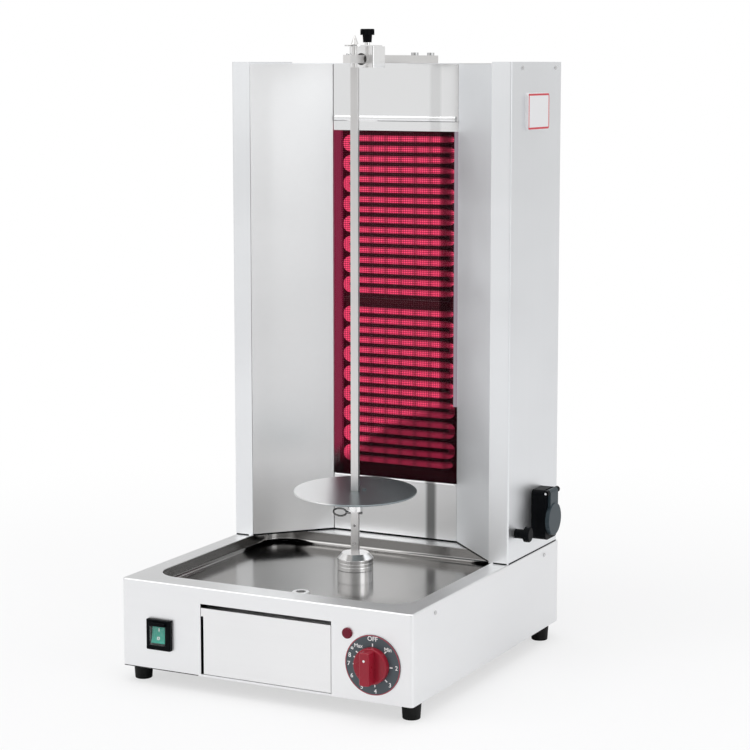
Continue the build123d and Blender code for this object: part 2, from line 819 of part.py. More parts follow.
# Top arm: a square bar bolted on the cabinet, notched at the left for the spit's neck
with BuildPart() as top_arm:
    block((arm_left, arm_right), (arm_tip, cabinet_back), (arm_bottom, arm_top))
    pillar(spit_x, spit_y, arm_bottom, 2 * notch_radius, arm_size, Mode.SUBTRACT)
    notch_y = (spit_y - notch_radius, spit_y + notch_radius)
    block((arm_left - arm_size, spit_x), notch_y, (arm_bottom, arm_top), Mode.SUBTRACT)
    for x, y in arm_bolt_places:
        pillar(x, y, arm_bottom, arm_bolt_diameter, arm_size, Mode.SUBTRACT)
keep(top_arm, "top_arm")

with BuildPart() as arm_bolts:
    for x, y in arm_bolt_places:
        shank = arm_size + thin_sheet + bolt_nut_height
        pillar(x, y, arm_top, bolt_head_diameter, bolt_head_height)
        pillar(x, y, arm_top - shank, arm_bolt_diameter - fit_gap, shank)
        pillar(x, y, cover_bottom - bolt_nut_height, bolt_head_diameter, bolt_nut_height)
keep(arm_bolts, "arm_bolts")

with BuildPart() as stop_screw:
    pillar(spit_x, arm_tip + stop_inset, arm_top, stop_diameter, stop_height)
    fillet(stop_screw.faces().sort_by(Axis.Z)[-1].edges(), stop_height * 0.7)
keep(stop_screw, "stop_screw")

# Clamp block: slides along the arm, whose corners fit its round bore
arm_bore = arm_size * math.sqrt(2) + 2 * fit_gap
block_x = (spit_x - block_width / 2, spit_x + block_width / 2)
block_ends = (block_y - block_length / 2, block_y + block_length / 2)
with BuildPart() as clamp_block:
    block(block_x, block_ends, (block_bottom, block_top))
    fillet(clamp_block.edges().filter_by(Axis.Z), block_edge_radius)
    rod(front_plane(block_ends[0]), [(spit_x, arm_middle)], arm_bore, -block_length, Mode.SUBTRACT)
    pillar(spit_x, block_y, arm_middle, clamp_screw_diameter, block_height, Mode.SUBTRACT)
keep(clamp_block, "clamp_block")

# Lock plate on the block, forked round the spit's neck
with BuildPart() as lock_plate:
    with BuildSketch(Plane.XY.offset(block_top)):
        with Locations((spit_x, (spit_y + block_ends[1]) / 2)):
            Rectangle(lock_plate_width, block_ends[1] - spit_y)
        with Locations((spit_x, spit_y)):
            Circle(lock_plate_width / 2)
        with Locations((spit_x, spit_y)):
            Circle(notch_radius, mode=Mode.SUBTRACT)
        with Locations((spit_x, spit_y - lock_plate_width / 2)):
            Rectangle(2 * notch_radius, lock_plate_width, mode=Mode.SUBTRACT)
        with Locations((spit_x, block_y)):
            Circle(clamp_screw_diameter / 2, mode=Mode.SUBTRACT)
    extrude(amount=lock_plate_thickness)
keep(lock_plate, "lock_plate")

# Clamp screw with its lobed knob
clamp_knob_bottom = plate_top + clamp_screw_stand
clamp_cap_bottom = clamp_knob_bottom + clamp_body_height
clamp_shank = clamp_screw_diameter - 2 * fit_gap
with BuildPart() as clamp_screw:
    screw_foot = arm_top + open_gap
    pillar(spit_x, block_y, screw_foot, clamp_shank, clamp_cap_bottom - screw_foot)
keep(clamp_screw, "clamp_screw")

with BuildPart() as clamp_knob:
    with Locations((spit_x, block_y, clamp_knob_bottom)):
        Cone(
            clamp_body_diameter / 2 - clamp_body_taper, clamp_body_diameter / 2, clamp_body_height,
            align=(Align.CENTER, Align.CENTER, Align.MIN),
        )
    with BuildSketch(Plane.XY.offset(clamp_cap_bottom)):
        with Locations((spit_x, block_y)):
            Circle(clamp_cap_diameter / 2 - clamp_lobe_radius / 2)
            with PolarLocations(clamp_cap_diameter / 2 - clamp_lobe_radius, clamp_lobes):
                Circle(clamp_lobe_radius)
    extrude(amount=clamp_cap_height)
    fillet(clamp_knob.faces().sort_by(Axis.Z)[-1].edges(), clamp_cap_edge)
    pillar(spit_x, block_y, clamp_knob_bottom, clamp_shank, clamp_body_height, Mode.SUBTRACT)
keep(clamp_knob, "clamp_knob")

# Cabinet sides, each folded into a front strip and a bottom flange
for name, outer, inner, strip, side in (
    ("left", base_left, wall_left, strip_left, Side.RIGHT),
    ("right", base_right, wall_right, strip_right, Side.LEFT),
):
    inward = math.copysign(1, inner - outer)
    with BuildPart() as cabinet_side:
        with BuildSketch(Plane.XY.offset(base_top)):
            with BuildLine():
                FilletPolyline(
                    (strip, cabinet_front), (outer, cabinet_front), (outer, cabinet_back),
                    radius=bend_radius,
                )
                offset(amount=sheet, side=side)
            make_face()
        extrude(amount=cabinet_top - base_top)
        flange_x = (outer + inward * sheet / 2, inner + inward * bottom_flange)
        block(flange_x, flange_y, (base_top, base_top + thin_sheet))
        rod(side_plane(base_left), cabinet_screw_places, small_hole, base_width, Mode.SUBTRACT)
        for x, y in flange_screw_places:
            pillar(x, y, base_top, small_hole, thin_sheet, Mode.SUBTRACT)
        if name == "right":
            stud_hole = side_stud_diameter + 2 * fit_gap
            rod(side_plane(inner), [side_knob_place], stud_hole, sheet, Mode.SUBTRACT)
            with BuildSketch(side_plane(inner)):
                with Locations(socket_place):
                    Rectangle(socket_rear_width + seat_gap, socket_rear_height + seat_gap)
            extrude(amount=sheet, mode=Mode.SUBTRACT)
    keep(cabinet_side, "cabinet_side_" + name)

# Slanted wings from the strips to the panels behind the spit
panel_bottom = base_top + floor_gap
for name, strip, corner, outward, side in (
    ("left", strip_left, panel_left, -1, Side.LEFT),
    ("right", strip_right, panel_right, 1, Side.RIGHT),
):
    with BuildPart() as wing:
        with BuildSketch(Plane.XY.offset(panel_bottom)):
            with BuildLine():
                Polyline(
                    (strip + outward * wing_flange, strip_back),
                    (strip, strip_back),
                    (corner, panel_y),
                    (corner, insulation_back + thin_sheet),
                )
                offset(amount=thin_sheet, side=side)
            make_face()
        extrude(amount=cover_bottom - panel_bottom)
    keep(wing, "wing_" + name)

# Panels above and below the glass, and the channel that holds the glass's top edge
between = (panel_left + panel_slit, panel_right - seat_gap)
with BuildPart() as upper_panel:
    lip_bottom = base_z + upper_lip_bottom
    block(between, (panel_y, panel_back), (lip_bottom, cover_bottom))
    lip_x = (between[0] + upper_lip_reach, between[1] - upper_lip_reach)
    block(lip_x, (panel_y - upper_lip_reach, panel_y), (lip_bottom, lip_bottom + upper_lip_height))
    lip_edges = upper_panel.edges().filter_by(Axis.X).group_by(Axis.Y)[0]
    fillet(lip_edges, upper_lip_reach * 0.6)
keep(upper_panel, "upper_panel")

with BuildPart() as glass_retainer:
    hook_bottom = glass_top + seat_gap
    block(between, (panel_y, panel_back), (base_z + window_top, lip_bottom - retainer_gap))
    block(between, (panel_back, glass_back), (hook_bottom, hook_bottom + thin_sheet))
keep(glass_retainer, "glass_retainer")

with BuildPart() as lower_panel:
    lip_top = base_z + window_bottom
    block(between, (panel_y, panel_back), (panel_bottom, lip_top))
    lip_x = (between[0] + lower_lip_reach, between[1] - lower_lip_reach)
    block(lip_x, (panel_y - lower_lip_reach, panel_y), (lip_top - lower_lip_height, lip_top))
    lip_edges = lower_panel.edges().filter_by(Axis.X).group_by(Axis.Y)[0]
    fillet(lip_edges, lower_lip_reach * 0.6)
    ledge_top = glass_bottom - seat_gap
    block(between, (panel_back, glass_back), (ledge_top - ledge_thickness, ledge_top))
keep(lower_panel, "lower_panel")

with BuildPart() as ceramic_glass:
    block(between, (panel_back, glass_back), (glass_bottom, glass_top))
keep(ceramic_glass, "ceramic_glass")

# Heating coils: tubes that run to and fro, with both ends led out at the back
coil_turn = coil_pitch / 2
coil_left = panel_left + coil_left_inset + coil_turn + coil_diameter / 2
coil_right = panel_right - coil_right_inset - coil_turn - coil_diameter / 2
coil_leads = [
    (coil_right, base_z + top - row * coil_pitch)
    for top in (coil_upper_top, coil_lower_top)
    for row in (0, coil_rows - 1)
]


def heating_coil(top):
    """One zone's tube, from its upper lead to its lower lead."""
    lead_y = coil_y + coil_lead_radius
    lead_end = insulation_back + thin_sheet
    bend_x = coil_right - coil_lead_radius
    bend_step = coil_lead_radius * (1 - math.sqrt(0.5))
    with BuildPart() as zone:
        with BuildLine() as route:
            z = base_z + top
            bend_middle = (coil_right - bend_step, coil_y + bend_step)
            Line((coil_right, lead_end, z), (coil_right, lead_y, z))
            ThreePointArc((coil_right, lead_y, z), (*bend_middle, z), (bend_x, coil_y, z))
            Line((bend_x, coil_y, z), (coil_left, coil_y, z))
            for row in range(1, coil_rows):
                side = -1 if row % 2 == 1 else 1
                end_x = coil_left if side < 0 else coil_right
                ThreePointArc(
                    (end_x, coil_y, z),
                    (end_x + side * coil_turn, coil_y, z - coil_turn),
                    (end_x, coil_y, z - coil_pitch),
                )
                z -= coil_pitch
                if row < coil_rows - 1:
                    Line((end_x, coil_y, z), (coil_left + coil_right - end_x, coil_y, z))
            Line((coil_left, coil_y, z), (bend_x, coil_y, z))
            ThreePointArc((bend_x, coil_y, z), (*bend_middle, z), (coil_right, lead_y, z))
            Line((coil_right, lead_y, z), (coil_right, lead_end, z))
        with BuildSketch(Plane(origin=(coil_right, lead_end, base_z + top), z_dir=(0, -1, 0))):
            Circle(coil_diameter / 2)
        sweep(path=route.line)
    return zone


keep(heating_coil(coil_upper_top), "heating_coil_upper")
keep(heating_coil(coil_lower_top), "heating_coil_lower")

# Insulation board with a rib between the zones, in its sheet pan
zone_middle = base_z + (coil_upper_top - (coil_rows - 1) * coil_pitch + coil_lower_top) / 2
board_x = (panel_left + thin_sheet + 2 * seat_gap, panel_right - thin_sheet - 2 * seat_gap)
lead_hole = coil_diameter + 2 * coil_lead_play
with BuildPart() as insulation_board:
    block(board_x, (insulation_front, insulation_back), (glass_bottom, glass_top))
    rib_z = (zone_middle - divider_height / 2, zone_middle + divider_height / 2)
    block(board_x, (glass_back + seat_gap, insulation_front), rib_z)
    board_face = front_plane(insulation_front)
    rod(board_face, coil_leads, lead_hole, -insulation_thickness, Mode.SUBTRACT)
keep(insulation_board, "insulation_board")

pan_x = (panel_left + seat_gap, panel_right - seat_gap)
with BuildPart() as heater_pan:
    block(
        pan_x, (insulation_back - pan_lip, insulation_back + thin_sheet),
        (glass_bottom - thin_sheet, glass_top + thin_sheet),
    )
    block(
        (pan_x[0] + thin_sheet, pan_x[1] - thin_sheet),
        (insulation_back - pan_lip, insulation_back),
        (glass_bottom, glass_top),
        Mode.SUBTRACT,
    )
    rod(front_plane(insulation_back), coil_leads, lead_hole, -thin_sheet, Mode.SUBTRACT)
keep(heater_pan, "heater_pan")

# Rear panel with vents
cover_x = (wall_left + seat_gap, wall_right - seat_gap)
with BuildPart() as rear_panel:
    block(cover_x, (cabinet_back - thin_sheet, cabinet_back), (base_top + seat_gap, cover_bottom))
    with BuildSketch(front_plane(cabinet_back - thin_sheet)):
        for side in (-1, 1):
            with Locations((mid_x + side * base_width / 4, cabinet_top - vent_drop)):
                with GridLocations(0, vent_pitch, 1, vent_count):
                    SlotOverall(vent_length, vent_height)
    extrude(amount=-thin_sheet, mode=Mode.SUBTRACT)
keep(rear_panel, "rear_panel")

# Cover: the cabinet's top, open over the cooking space, with flanges inside the side walls
cover_front = strip_back + seat_gap
with BuildPart() as cabinet_cover:
    with BuildSketch(Plane.XY.offset(cover_bottom)):
        with BuildLine():
            Polyline(
                (cover_x[0], cover_front),
                (strip_left, cover_front),
                (panel_left, panel_y),
                (panel_right, panel_y),
                (strip_right, cover_front),
                (cover_x[1], cover_front),
                (cover_x[1], cabinet_back),
                (cover_x[0], cabinet_back),
                close=True,
            )
        make_face()
    extrude(amount=thin_sheet)
    for wall in ((cover_x[0], cover_x[0] + thin_sheet), (cover_x[1] - thin_sheet, cover_x[1])):
        side_y = (cabinet_front + flange_inset, cabinet_back - 2 * thin_sheet)
        block(wall, side_y, (cover_bottom - top_flange, cover_bottom))
    rod(side_plane(base_left), cabinet_screw_places, small_hole, base_width, Mode.SUBTRACT)
    for x, y in arm_bolt_places:
        pillar(x, y, cover_bottom, arm_bolt_diameter, thin_sheet, Mode.SUBTRACT)
keep(cabinet_cover, "cabinet_cover")

# Small screws: base sides, cabinet sides and the cabinet's bottom flanges
with BuildPart() as panel_screws:
    side_places = base_screw_places + cabinet_screw_places
    for wall, outward in ((base_left, -1), (base_right, 1)):
        rod(side_plane(wall), side_places, small_head, outward * small_head_height)
        rod(side_plane(wall), side_places, small_shank, -outward * small_shank_length)
    for x, y in flange_screw_places:
        pillar(x, y, base_top + thin_sheet, small_head, small_head_height)
        pillar(x, y, base_top + thin_sheet - small_shank_length, small_shank, small_shank_length)
keep(panel_screws, "panel_screws")

# Badge plate: a thick plain plate with rounded corners
with BuildPart() as badge_plate:
    with BuildSketch(side_plane(base_right)):
        with Locations((front_y + badge_y, base_z + badge_z)):
            RectangleRounded(badge_width, badge_height, badge_corner)
    extrude(amount=badge_thickness)
    fillet(badge_plate.faces().sort_by(Axis.X)[-1].edges(), badge_edge)
keep(badge_plate, "badge_plate")

# Grease drawer: its front, its pan and the guide on the base's floor
with BuildPart() as drawer_front:
    block(drawer_x, (front_y, front_y + sheet), drawer_z)
    tab_x = (drawer_x[0] - drawer_tab_width, drawer_x[0])
    block(tab_x, (front_y, front_y + sheet), (drawer_z[1] - drawer_tab_height, drawer_z[1]))
    block(drawer_x, (front_y, front_y + drawer_return), (drawer_z[1] - sheet, drawer_z[1]))
    for wall in ((drawer_x[0], drawer_x[0] + sheet), (drawer_x[1] - sheet, drawer_x[1])):
        block(wall, (front_y, front_y + drawer_return), drawer_z)
keep(drawer_front, "drawer_front")

drawer_pan_bottom = guide_top + open_gap
with BuildPart() as drawer_pan:
    block(drawer_pan_x, drawer_pan_y, (drawer_pan_bottom, drawer_pan_bottom + drawer_pan_height))
    fillet(drawer_pan.edges().filter_by(Axis.Z), drawer_pan_radius)
    offset(amount=-thin_sheet, openings=drawer_pan.faces().sort_by(Axis.Z)[-1])
keep(drawer_pan, "drawer_pan")

guide_x = (drawer_pan_x[0] - open_gap - thin_sheet, drawer_pan_x[1] + open_gap + thin_sheet)
guide_y = (front_y + drawer_return + open_gap, drawer_pan_y[1] + open_gap + thin_sheet)
guide_z = (base_z + thin_sheet, guide_top + guide_height)
with BuildPart() as drawer_guide:
    block(guide_x, guide_y, (base_z + thin_sheet, guide_top))
    for wall in ((guide_x[0], guide_x[0] + thin_sheet), (guide_x[1] - thin_sheet, guide_x[1])):
        block(wall, guide_y, guide_z)
    block(guide_x, (guide_y[1] - thin_sheet, guide_y[1]), guide_z)
keep(drawer_guide, "drawer_guide")

# Rocker switch: a body with its bezel and contacts, and the rocker on its axle
rocker_opening = (switch_width - 2 * bezel_wall_x, switch_height - 2 * bezel_wall_z)
with BuildPart() as switch_body:
    with BuildSketch(front_plane(front_y)):
        with Locations(switch_place):
            RectangleRounded(switch_width, switch_height, bezel_edge)
    extrude(amount=bezel_depth)
    fillet(switch_body.faces().sort_by(Axis.Y)[0].edges(), bezel_edge)
    with BuildSketch(front_plane(front_y)):
        with Locations(switch_place):
            Rectangle(switch_cutout_x - 2 * fit_gap, switch_cutout_z - 2 * fit_gap)
    extrude(amount=-switch_body_depth)
    with BuildSketch(front_plane(front_y - bezel_depth)):
        with Locations(switch_place):
            Rectangle(*rocker_opening)
    extrude(amount=-bezel_depth - switch_cavity_depth, mode=Mode.SUBTRACT)
    with BuildSketch(front_plane(front_y + switch_body_depth)):
        with Locations(switch_place):
            with GridLocations(contact_spread_x, contact_spread_z, 2, 2):
                Rectangle(contact_width, contact_height)
    extrude(amount=-contact_length)
    axle_length = rocker_opening[0] + 2 * rocker_axle
    axle_plane = side_plane(switch_place[0] - axle_length / 2)
    axle_place = (front_y + rocker_pivot, switch_place[1])
    rod(axle_plane, [axle_place], 2 * (rocker_axle + fit_gap), axle_length, Mode.SUBTRACT)
keep(switch_body, "switch_body")

rocker_width = rocker_opening[0] - 2 * rocker_play
rocker_plane = Plane(
    origin=(switch_place[0] - rocker_width / 2, front_y + rocker_pivot, switch_place[1]),
    x_dir=(0, 1, 0), z_dir=(1, 0, 0),
).rotated((-rocker_tilt, 0, 0))
with BuildPart() as rocker:
    with BuildSketch(rocker_plane):
        with BuildLine():
            Polyline(
                (-rocker_front, rocker_half), (rocker_back, rocker_back),
                (rocker_back, -rocker_back), (-rocker_front, -rocker_half),
            )
            ThreePointArc(
                (-rocker_front, -rocker_half), (rocker_hollow - rocker_front, 0),
                (-rocker_front, rocker_half),
            )
        make_face()
    extrude(amount=rocker_width)
    axle_end = rocker_axle - rocker_play
    rod(rocker_plane.offset(-axle_end), [(0, 0)], 2 * rocker_axle, rocker_width + 2 * axle_end)
keep(rocker, "rocker")

# Pilot lamp: a domed lens in one piece with its stem
with BuildPart() as pilot_lamp:
    rod(front_plane(front_y), [lamp_place], lamp_diameter, lamp_flange + lamp_dome)
    fillet(pilot_lamp.faces().sort_by(Axis.Y)[0].edges(), lamp_dome)
    rod(front_plane(front_y), [lamp_place], lamp_stem, -lamp_length)
keep(pilot_lamp, "pilot_lamp")

# Heat control: dial plate, knob, spindle and regulator
with BuildPart() as dial_plate:
    with BuildSketch(front_plane(front_y)):
        with Locations(dial_place):
            Circle(dial_diameter / 2)
            Circle(dial_hole / 2, mode=Mode.SUBTRACT)
    extrude(amount=dial_thickness)
keep(dial_plate, "dial_plate")

knob_back = front_y - dial_thickness - open_gap
knob_depth = knob_back - front_y + knob_reach
with BuildPart() as control_knob:
    rod(front_plane(knob_back), [dial_place], knob_diameter, knob_skirt)
    fillet(control_knob.faces().sort_by(Axis.Y)[0].edges(), knob_edge)
    with BuildSketch(front_plane(knob_back)):
        with Locations(dial_place):
            Circle(knob_diameter / 2 - knob_edge)
            Rectangle(knob_grip, knob_diameter, mode=Mode.INTERSECT)
    extrude(amount=knob_depth)
    fillet(control_knob.faces().sort_by(Axis.Y)[0].edges(), knob_edge)
    rod(front_plane(knob_back), [dial_place], spindle_diameter, spindle_grip, Mode.SUBTRACT)
keep(control_knob, "control_knob")

regulator_front = front_y + sheet
with BuildPart() as regulator_body:
    with BuildSketch(front_plane(regulator_front)):
        with Locations(dial_place):
            Rectangle(regulator_width, regulator_height)
    extrude(amount=-regulator_depth)
    seat_bore = spindle_diameter + 2 * fit_gap
    rod(front_plane(regulator_front), [dial_place], seat_bore, -spindle_seat, Mode.SUBTRACT)
keep(regulator_body, "regulator_body")

with BuildPart() as regulator_spindle:
    spindle_front = knob_back - spindle_grip
    spindle_length = regulator_front + spindle_seat - open_gap - spindle_front
    rod(front_plane(spindle_front), [dial_place], spindle_diameter, -spindle_length)
keep(regulator_spindle, "regulator_spindle")

# Cable gland in the base's back wall, with its nut inside
with BuildPart() as cable_gland:
    rod(front_plane(back_y), [gland_place], gland_nut, -gland_reach)
    fillet(cable_gland.faces().sort_by(Axis.Y)[-1].edges(), gland_edge)
    rod(front_plane(back_y), [gland_place], gland_thread, sheet)
    rod(front_plane(back_y - sheet), [gland_place], gland_nut, gland_nut_height)
    bore_length = gland_reach + sheet + gland_nut_height
    rod(front_plane(back_y + gland_reach), [gland_place], gland_bore, bore_length, Mode.SUBTRACT)
keep(cable_gland, "cable_gland")

# Side socket: a housing with two ears, a hinged round lid and its pin
socket_ends = (front_y + socket_y - socket_width / 2, front_y + socket_y + socket_width / 2)
hinge_place = (base_right + socket_body_reach, base_z + socket_pin_z)
lid_place = (front_y + socket_y, base_z + socket_lid_z)
knuckle_y = (socket_ends[0] + socket_ear, socket_ends[1] - socket_ear)
knuckle_length = knuckle_y[1] - knuckle_y[0]
with BuildPart() as socket_body:
    with BuildSketch(side_plane(base_right)):
        with Locations(socket_place):
            RectangleRounded(socket_width, socket_top - socket_bottom, socket_corner)
    extrude(amount=socket_body_reach)
    rod(front_plane(socket_ends[0]), [hinge_place], 2 * socket_knuckle, -socket_width)
    knuckle_room = socket_knuckle + open_gap
    block(
        (hinge_place[0] - knuckle_room, hinge_place[0] + knuckle_room),
        (knuckle_y[0] - open_gap, knuckle_y[1] + open_gap),
        (hinge_place[1] - knuckle_room, hinge_place[1] + knuckle_room),
        Mode.SUBTRACT,
    )
    face_plane = side_plane(hinge_place[0])
    rod(face_plane, [lid_place], socket_face_diameter, -socket_face_depth, Mode.SUBTRACT)
    with BuildSketch(side_plane(base_right)):
        with Locations(socket_place):
            Rectangle(socket_rear_width - seat_gap, socket_rear_height - seat_gap)
    extrude(amount=-socket_rear_depth)
    rod(
        front_plane(socket_ends[0]), [hinge_place], socket_pin_diameter, -socket_width,
        Mode.SUBTRACT,
    )
keep(socket_body, "socket_body")

with BuildPart() as socket_lid:
    lid_inner = hinge_place[0] + open_gap
    rod(side_plane(lid_inner), [lid_place], socket_lid_diameter, socket_lid_thickness)
    block((lid_inner, lid_inner + socket_knuckle), knuckle_y, (lid_place[1], hinge_place[1]))
    fillet(socket_lid.faces().sort_by(Axis.X)[-1].edges(), socket_lid_edge)
    hinge_bore = socket_pin_diameter + 2 * fit_gap
    rod(front_plane(knuckle_y[0]), [hinge_place], 2 * socket_knuckle, -knuckle_length)
    rod(front_plane(knuckle_y[0]), [hinge_place], hinge_bore, -knuckle_length, Mode.SUBTRACT)
keep(socket_lid, "socket_lid")

with BuildPart() as socket_pin:
    pin_start = front_plane(socket_ends[0] - small_head_height)
    rod(pin_start, [hinge_place], socket_pin_diameter, -socket_width - 2 * small_head_height)
keep(socket_pin, "socket_pin")

# Mushroom knob on its threaded stud
with BuildPart() as side_knob:
    stem_start = side_plane(base_right + seat_gap)
    rod(stem_start, [side_knob_place], side_knob_stem, side_knob_stem_length)
    cap_start = stem_start.offset(side_knob_stem_length)
    rod(cap_start, [side_knob_place], side_knob_cap, side_knob_cap_length)
    fillet(side_knob.faces().sort_by(Axis.X)[-1].edges(), bend_radius)
    rod(stem_start, [side_knob_place], side_stud_diameter, -side_stud_length)
keep(side_knob, "side_knob")
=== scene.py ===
# %% [markdown]
# An upright electric grill for stacked meat: a square steel base with a drip tray, a tall folded
# cabinet with two wings, a glowing heater behind dark glass, and a spit that turns in front of it.
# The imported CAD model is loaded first. It holds every part at its real place, in metres, so the
# lesson is about light, camera, finishes and the small printed and sealed details on top.

# %% Load the frame
import math

import bmesh
import bpy
from mathutils import Matrix, Vector


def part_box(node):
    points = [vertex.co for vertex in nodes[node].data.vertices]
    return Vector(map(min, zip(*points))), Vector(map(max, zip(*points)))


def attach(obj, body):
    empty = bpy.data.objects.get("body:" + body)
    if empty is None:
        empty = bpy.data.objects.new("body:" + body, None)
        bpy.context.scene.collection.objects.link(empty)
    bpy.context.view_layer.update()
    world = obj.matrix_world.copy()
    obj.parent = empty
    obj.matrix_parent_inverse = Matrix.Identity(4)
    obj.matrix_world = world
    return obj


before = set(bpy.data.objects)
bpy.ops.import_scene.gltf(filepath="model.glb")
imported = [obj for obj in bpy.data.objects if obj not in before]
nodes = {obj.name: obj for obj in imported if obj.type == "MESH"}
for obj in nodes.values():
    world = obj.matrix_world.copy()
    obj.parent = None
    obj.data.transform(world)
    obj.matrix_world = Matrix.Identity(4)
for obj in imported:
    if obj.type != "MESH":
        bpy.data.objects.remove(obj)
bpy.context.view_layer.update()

MM = 0.001

# %% [markdown]
# The camera stands a little above the tray, to the right of the front. A long lens keeps the
# cabinet's edges nearly parallel. A small vertical shift frames the grill, where tilting the
# camera further would make the upright edges lean.

# %% Camera
camera_data = bpy.data.cameras.new("camera")
camera_data.lens = 102.09
camera_data.sensor_width = 36.0
camera_data.shift_y = -0.05
camera = bpy.data.objects.new("camera", camera_data)
camera.location = (1.07948, -2.06752, 0.66611)
camera.rotation_euler = (math.radians(82.66), 0.0, math.radians(27.03))
bpy.context.scene.collection.objects.link(camera)
bpy.context.scene.camera = camera
bpy.context.scene.view_settings.view_transform = "Standard"
print("camera at", [round(v, 3) for v in camera.location])

# %% [markdown]
# A material is a small program of nodes. Writing each node by hand is long, so one class wraps a
# socket and lets Python's own + - * / add the Math nodes, and one method adds any other node.

# %% Shader helper
SWAPPED = True
materials = {}


class Signal:
    """One output socket of a shader node, with arithmetic that adds Math nodes."""

    def __init__(self, paint, socket):
        self.paint = paint
        self.socket = socket

    def maths(self, operation, other=0.0, swapped=False):
        first, second = (other, self) if swapped else (self, other)
        settings = {"operation": operation}
        return self.paint.node("ShaderNodeMath", settings, {0: first, 1: second})

    def __add__(self, other):
        return self.maths("ADD", other)

    def __radd__(self, other):
        return self.maths("ADD", other, SWAPPED)

    def __sub__(self, other):
        return self.maths("SUBTRACT", other)

    def __rsub__(self, other):
        return self.maths("SUBTRACT", other, SWAPPED)

    def __mul__(self, other):
        return self.maths("MULTIPLY", other)

    def __rmul__(self, other):
        return self.maths("MULTIPLY", other, SWAPPED)

    def __gt__(self, other):
        return self.maths("GREATER_THAN", other)

    def __lt__(self, other):
        return self.maths("LESS_THAN", other)


class Paint:
    """One material, its Principled shader, and short ways to add nodes to it."""

    def __init__(self, name, roughness=0.5, metallic=0.0, **sockets):
        self.name = name
        self.material = bpy.data.materials.new(name)
        self.material.use_nodes = True
        self.tree = self.material.node_tree
        self.shader = self.tree.nodes["Principled BSDF"]
        self.give("Roughness", roughness)
        self.give("Metallic", metallic)
        for socket, value in sockets.items():
            self.give(socket.replace("_", " "), value)
        self.place = self.node("ShaderNodeTexCoord", {}, {}, "Object")

    def feed(self, node, socket, value):
        if isinstance(value, Signal):
            self.tree.links.new(value.socket, node.inputs[socket])
        else:
            node.inputs[socket].default_value = value

    def give(self, socket, value):
        """Feeds one of the shader's own sockets."""
        self.feed(self.shader, socket, value)

    def fed(self, socket):
        """The signal that already feeds one of the shader's sockets."""
        return Signal(self, self.shader.inputs[socket].links[0].from_socket)

    def node(self, kind, settings, inputs, output=0):
        added = self.tree.nodes.new(kind)
        for name, value in settings.items():
            setattr(added, name, value)
        for socket, value in inputs.items():
            self.feed(added, socket, value)
        return Signal(self, added.outputs[output])

    def noise(self, scale, detail=4.0, stretch=(1, 1, 1), roughness=0.5):
        at = self.node("ShaderNodeMapping", {}, {"Vector": self.place, "Scale": stretch})
        sockets = {"Vector": at, "Scale": scale, "Detail": detail, "Roughness": roughness}
        return self.node("ShaderNodeTexNoise", {}, sockets)

    def axes(self):
        split = self.tree.nodes.new("ShaderNodeSeparateXYZ")
        self.feed(split, 0, self.place)
        return [Signal(self, split.outputs[i]) for i in range(3)]

    def ramp(self, signal, low, high, start=0.0, end=1.0):
        sockets = {0: signal, 1: low, 2: high, 3: start, 4: end}
        return self.node("ShaderNodeMapRange", {"interpolation_type": "SMOOTHSTEP"}, sockets)

    def mix(self, factor, first, second):
        sockets = {0: factor, 6: first, 7: second}
        return self.node("ShaderNodeMix", {"data_type": "RGBA"}, sockets, 2)

    def color(self, value):
        self.give("Base Color", value)

    def bump(self, height, strength, distance=MM):
        sockets = {"Height": height, "Strength": strength, "Distance": distance}
        self.give("Normal", self.node("ShaderNodeBump", {}, sockets))

    def keep(self):
        """Files the material under the name that the table of finishes uses."""
        materials[self.name] = self.material
        return self


def gray(level, warm=0.0):
    return (level + warm, level, level - warm, 1.0)


print("shader helper ready")

# %% [markdown]
# Stainless sheet is rolled and then brushed, so it carries very fine parallel lines. A noise that
# is stretched a hundred times along the lines makes them. A second, slow noise makes the faint
# smears that wiping leaves, which show mostly as a change of roughness. The two wings are alike,
# but the right one is given a duller finish and a brighter colour, which is painted light.

# %% Steel finishes
LINE_SHARE, CLOUD_SHARE, LINE_BUMP = 0.30, 0.25, 0.06


def steel(name, level, roughness, grain, tint=0.0, smear=0.04):
    paint = Paint(name, metallic=1.0)
    fine = paint.noise(1400.0, 3.0, grain, 0.6)
    streak = paint.noise(160.0, 4.0, grain, 0.6)
    slow = paint.noise(3.5, 3.0, (1, 1, 2.2))
    cloudy = paint.ramp(slow, 0.25, 0.75)
    dark, light = gray(level * (1 - smear), -tint), gray(min(level * (1 + smear), 0.98), -tint)
    paint.color(paint.mix(cloudy * 0.6 + streak * 0.25 + fine * 0.15, dark, light))
    lines, clouds = (fine - 0.5) * LINE_SHARE, (cloudy - 0.5) * CLOUD_SHARE
    paint.give("Roughness", lines * roughness + clouds * roughness + roughness)
    paint.bump(fine, LINE_BUMP, 0.02 * MM)
    return paint.keep()


ACROSS, UPRIGHT, ROUND = (0.01, 1.0, 1.0), (1.0, 1.0, 0.01), (1.0, 1.0, 6.0)
DISC_GRAIN = (0.3, 1.0, 1.0)
steel("cabinet_steel", 0.88, 0.40, UPRIGHT, 0.012)
steel("wing_steel", 0.80, 0.34, ACROSS, 0.0, 0.05)
# The right wing's brighter colour is painted light; its sheet is the same as the left one's.
steel("wing_steel_painted_brighter", 0.96, 0.58, ACROSS, 0.016, 0.02)
steel("drawer_steel", 0.90, 0.42, ACROSS)
steel("inner_steel", 0.45, 0.40, ACROSS)
steel("turned_steel", 0.97, 0.19, ROUND, -0.004, 0.01)
steel("eyelet_steel", 0.97, 0.35, ROUND)
steel("bar_steel", 0.80, 0.34, UPRIGHT, -0.012)
steel("screw_steel", 0.66, 0.25, ROUND)
# The locking pin's dark gray is painted shade, a darker copy of the screws' steel.
steel("shaded_pin_steel", 0.36, 0.25, ROUND)
steel("gear_steel", 0.45, 0.35, ROUND)
print("steels", len(materials))
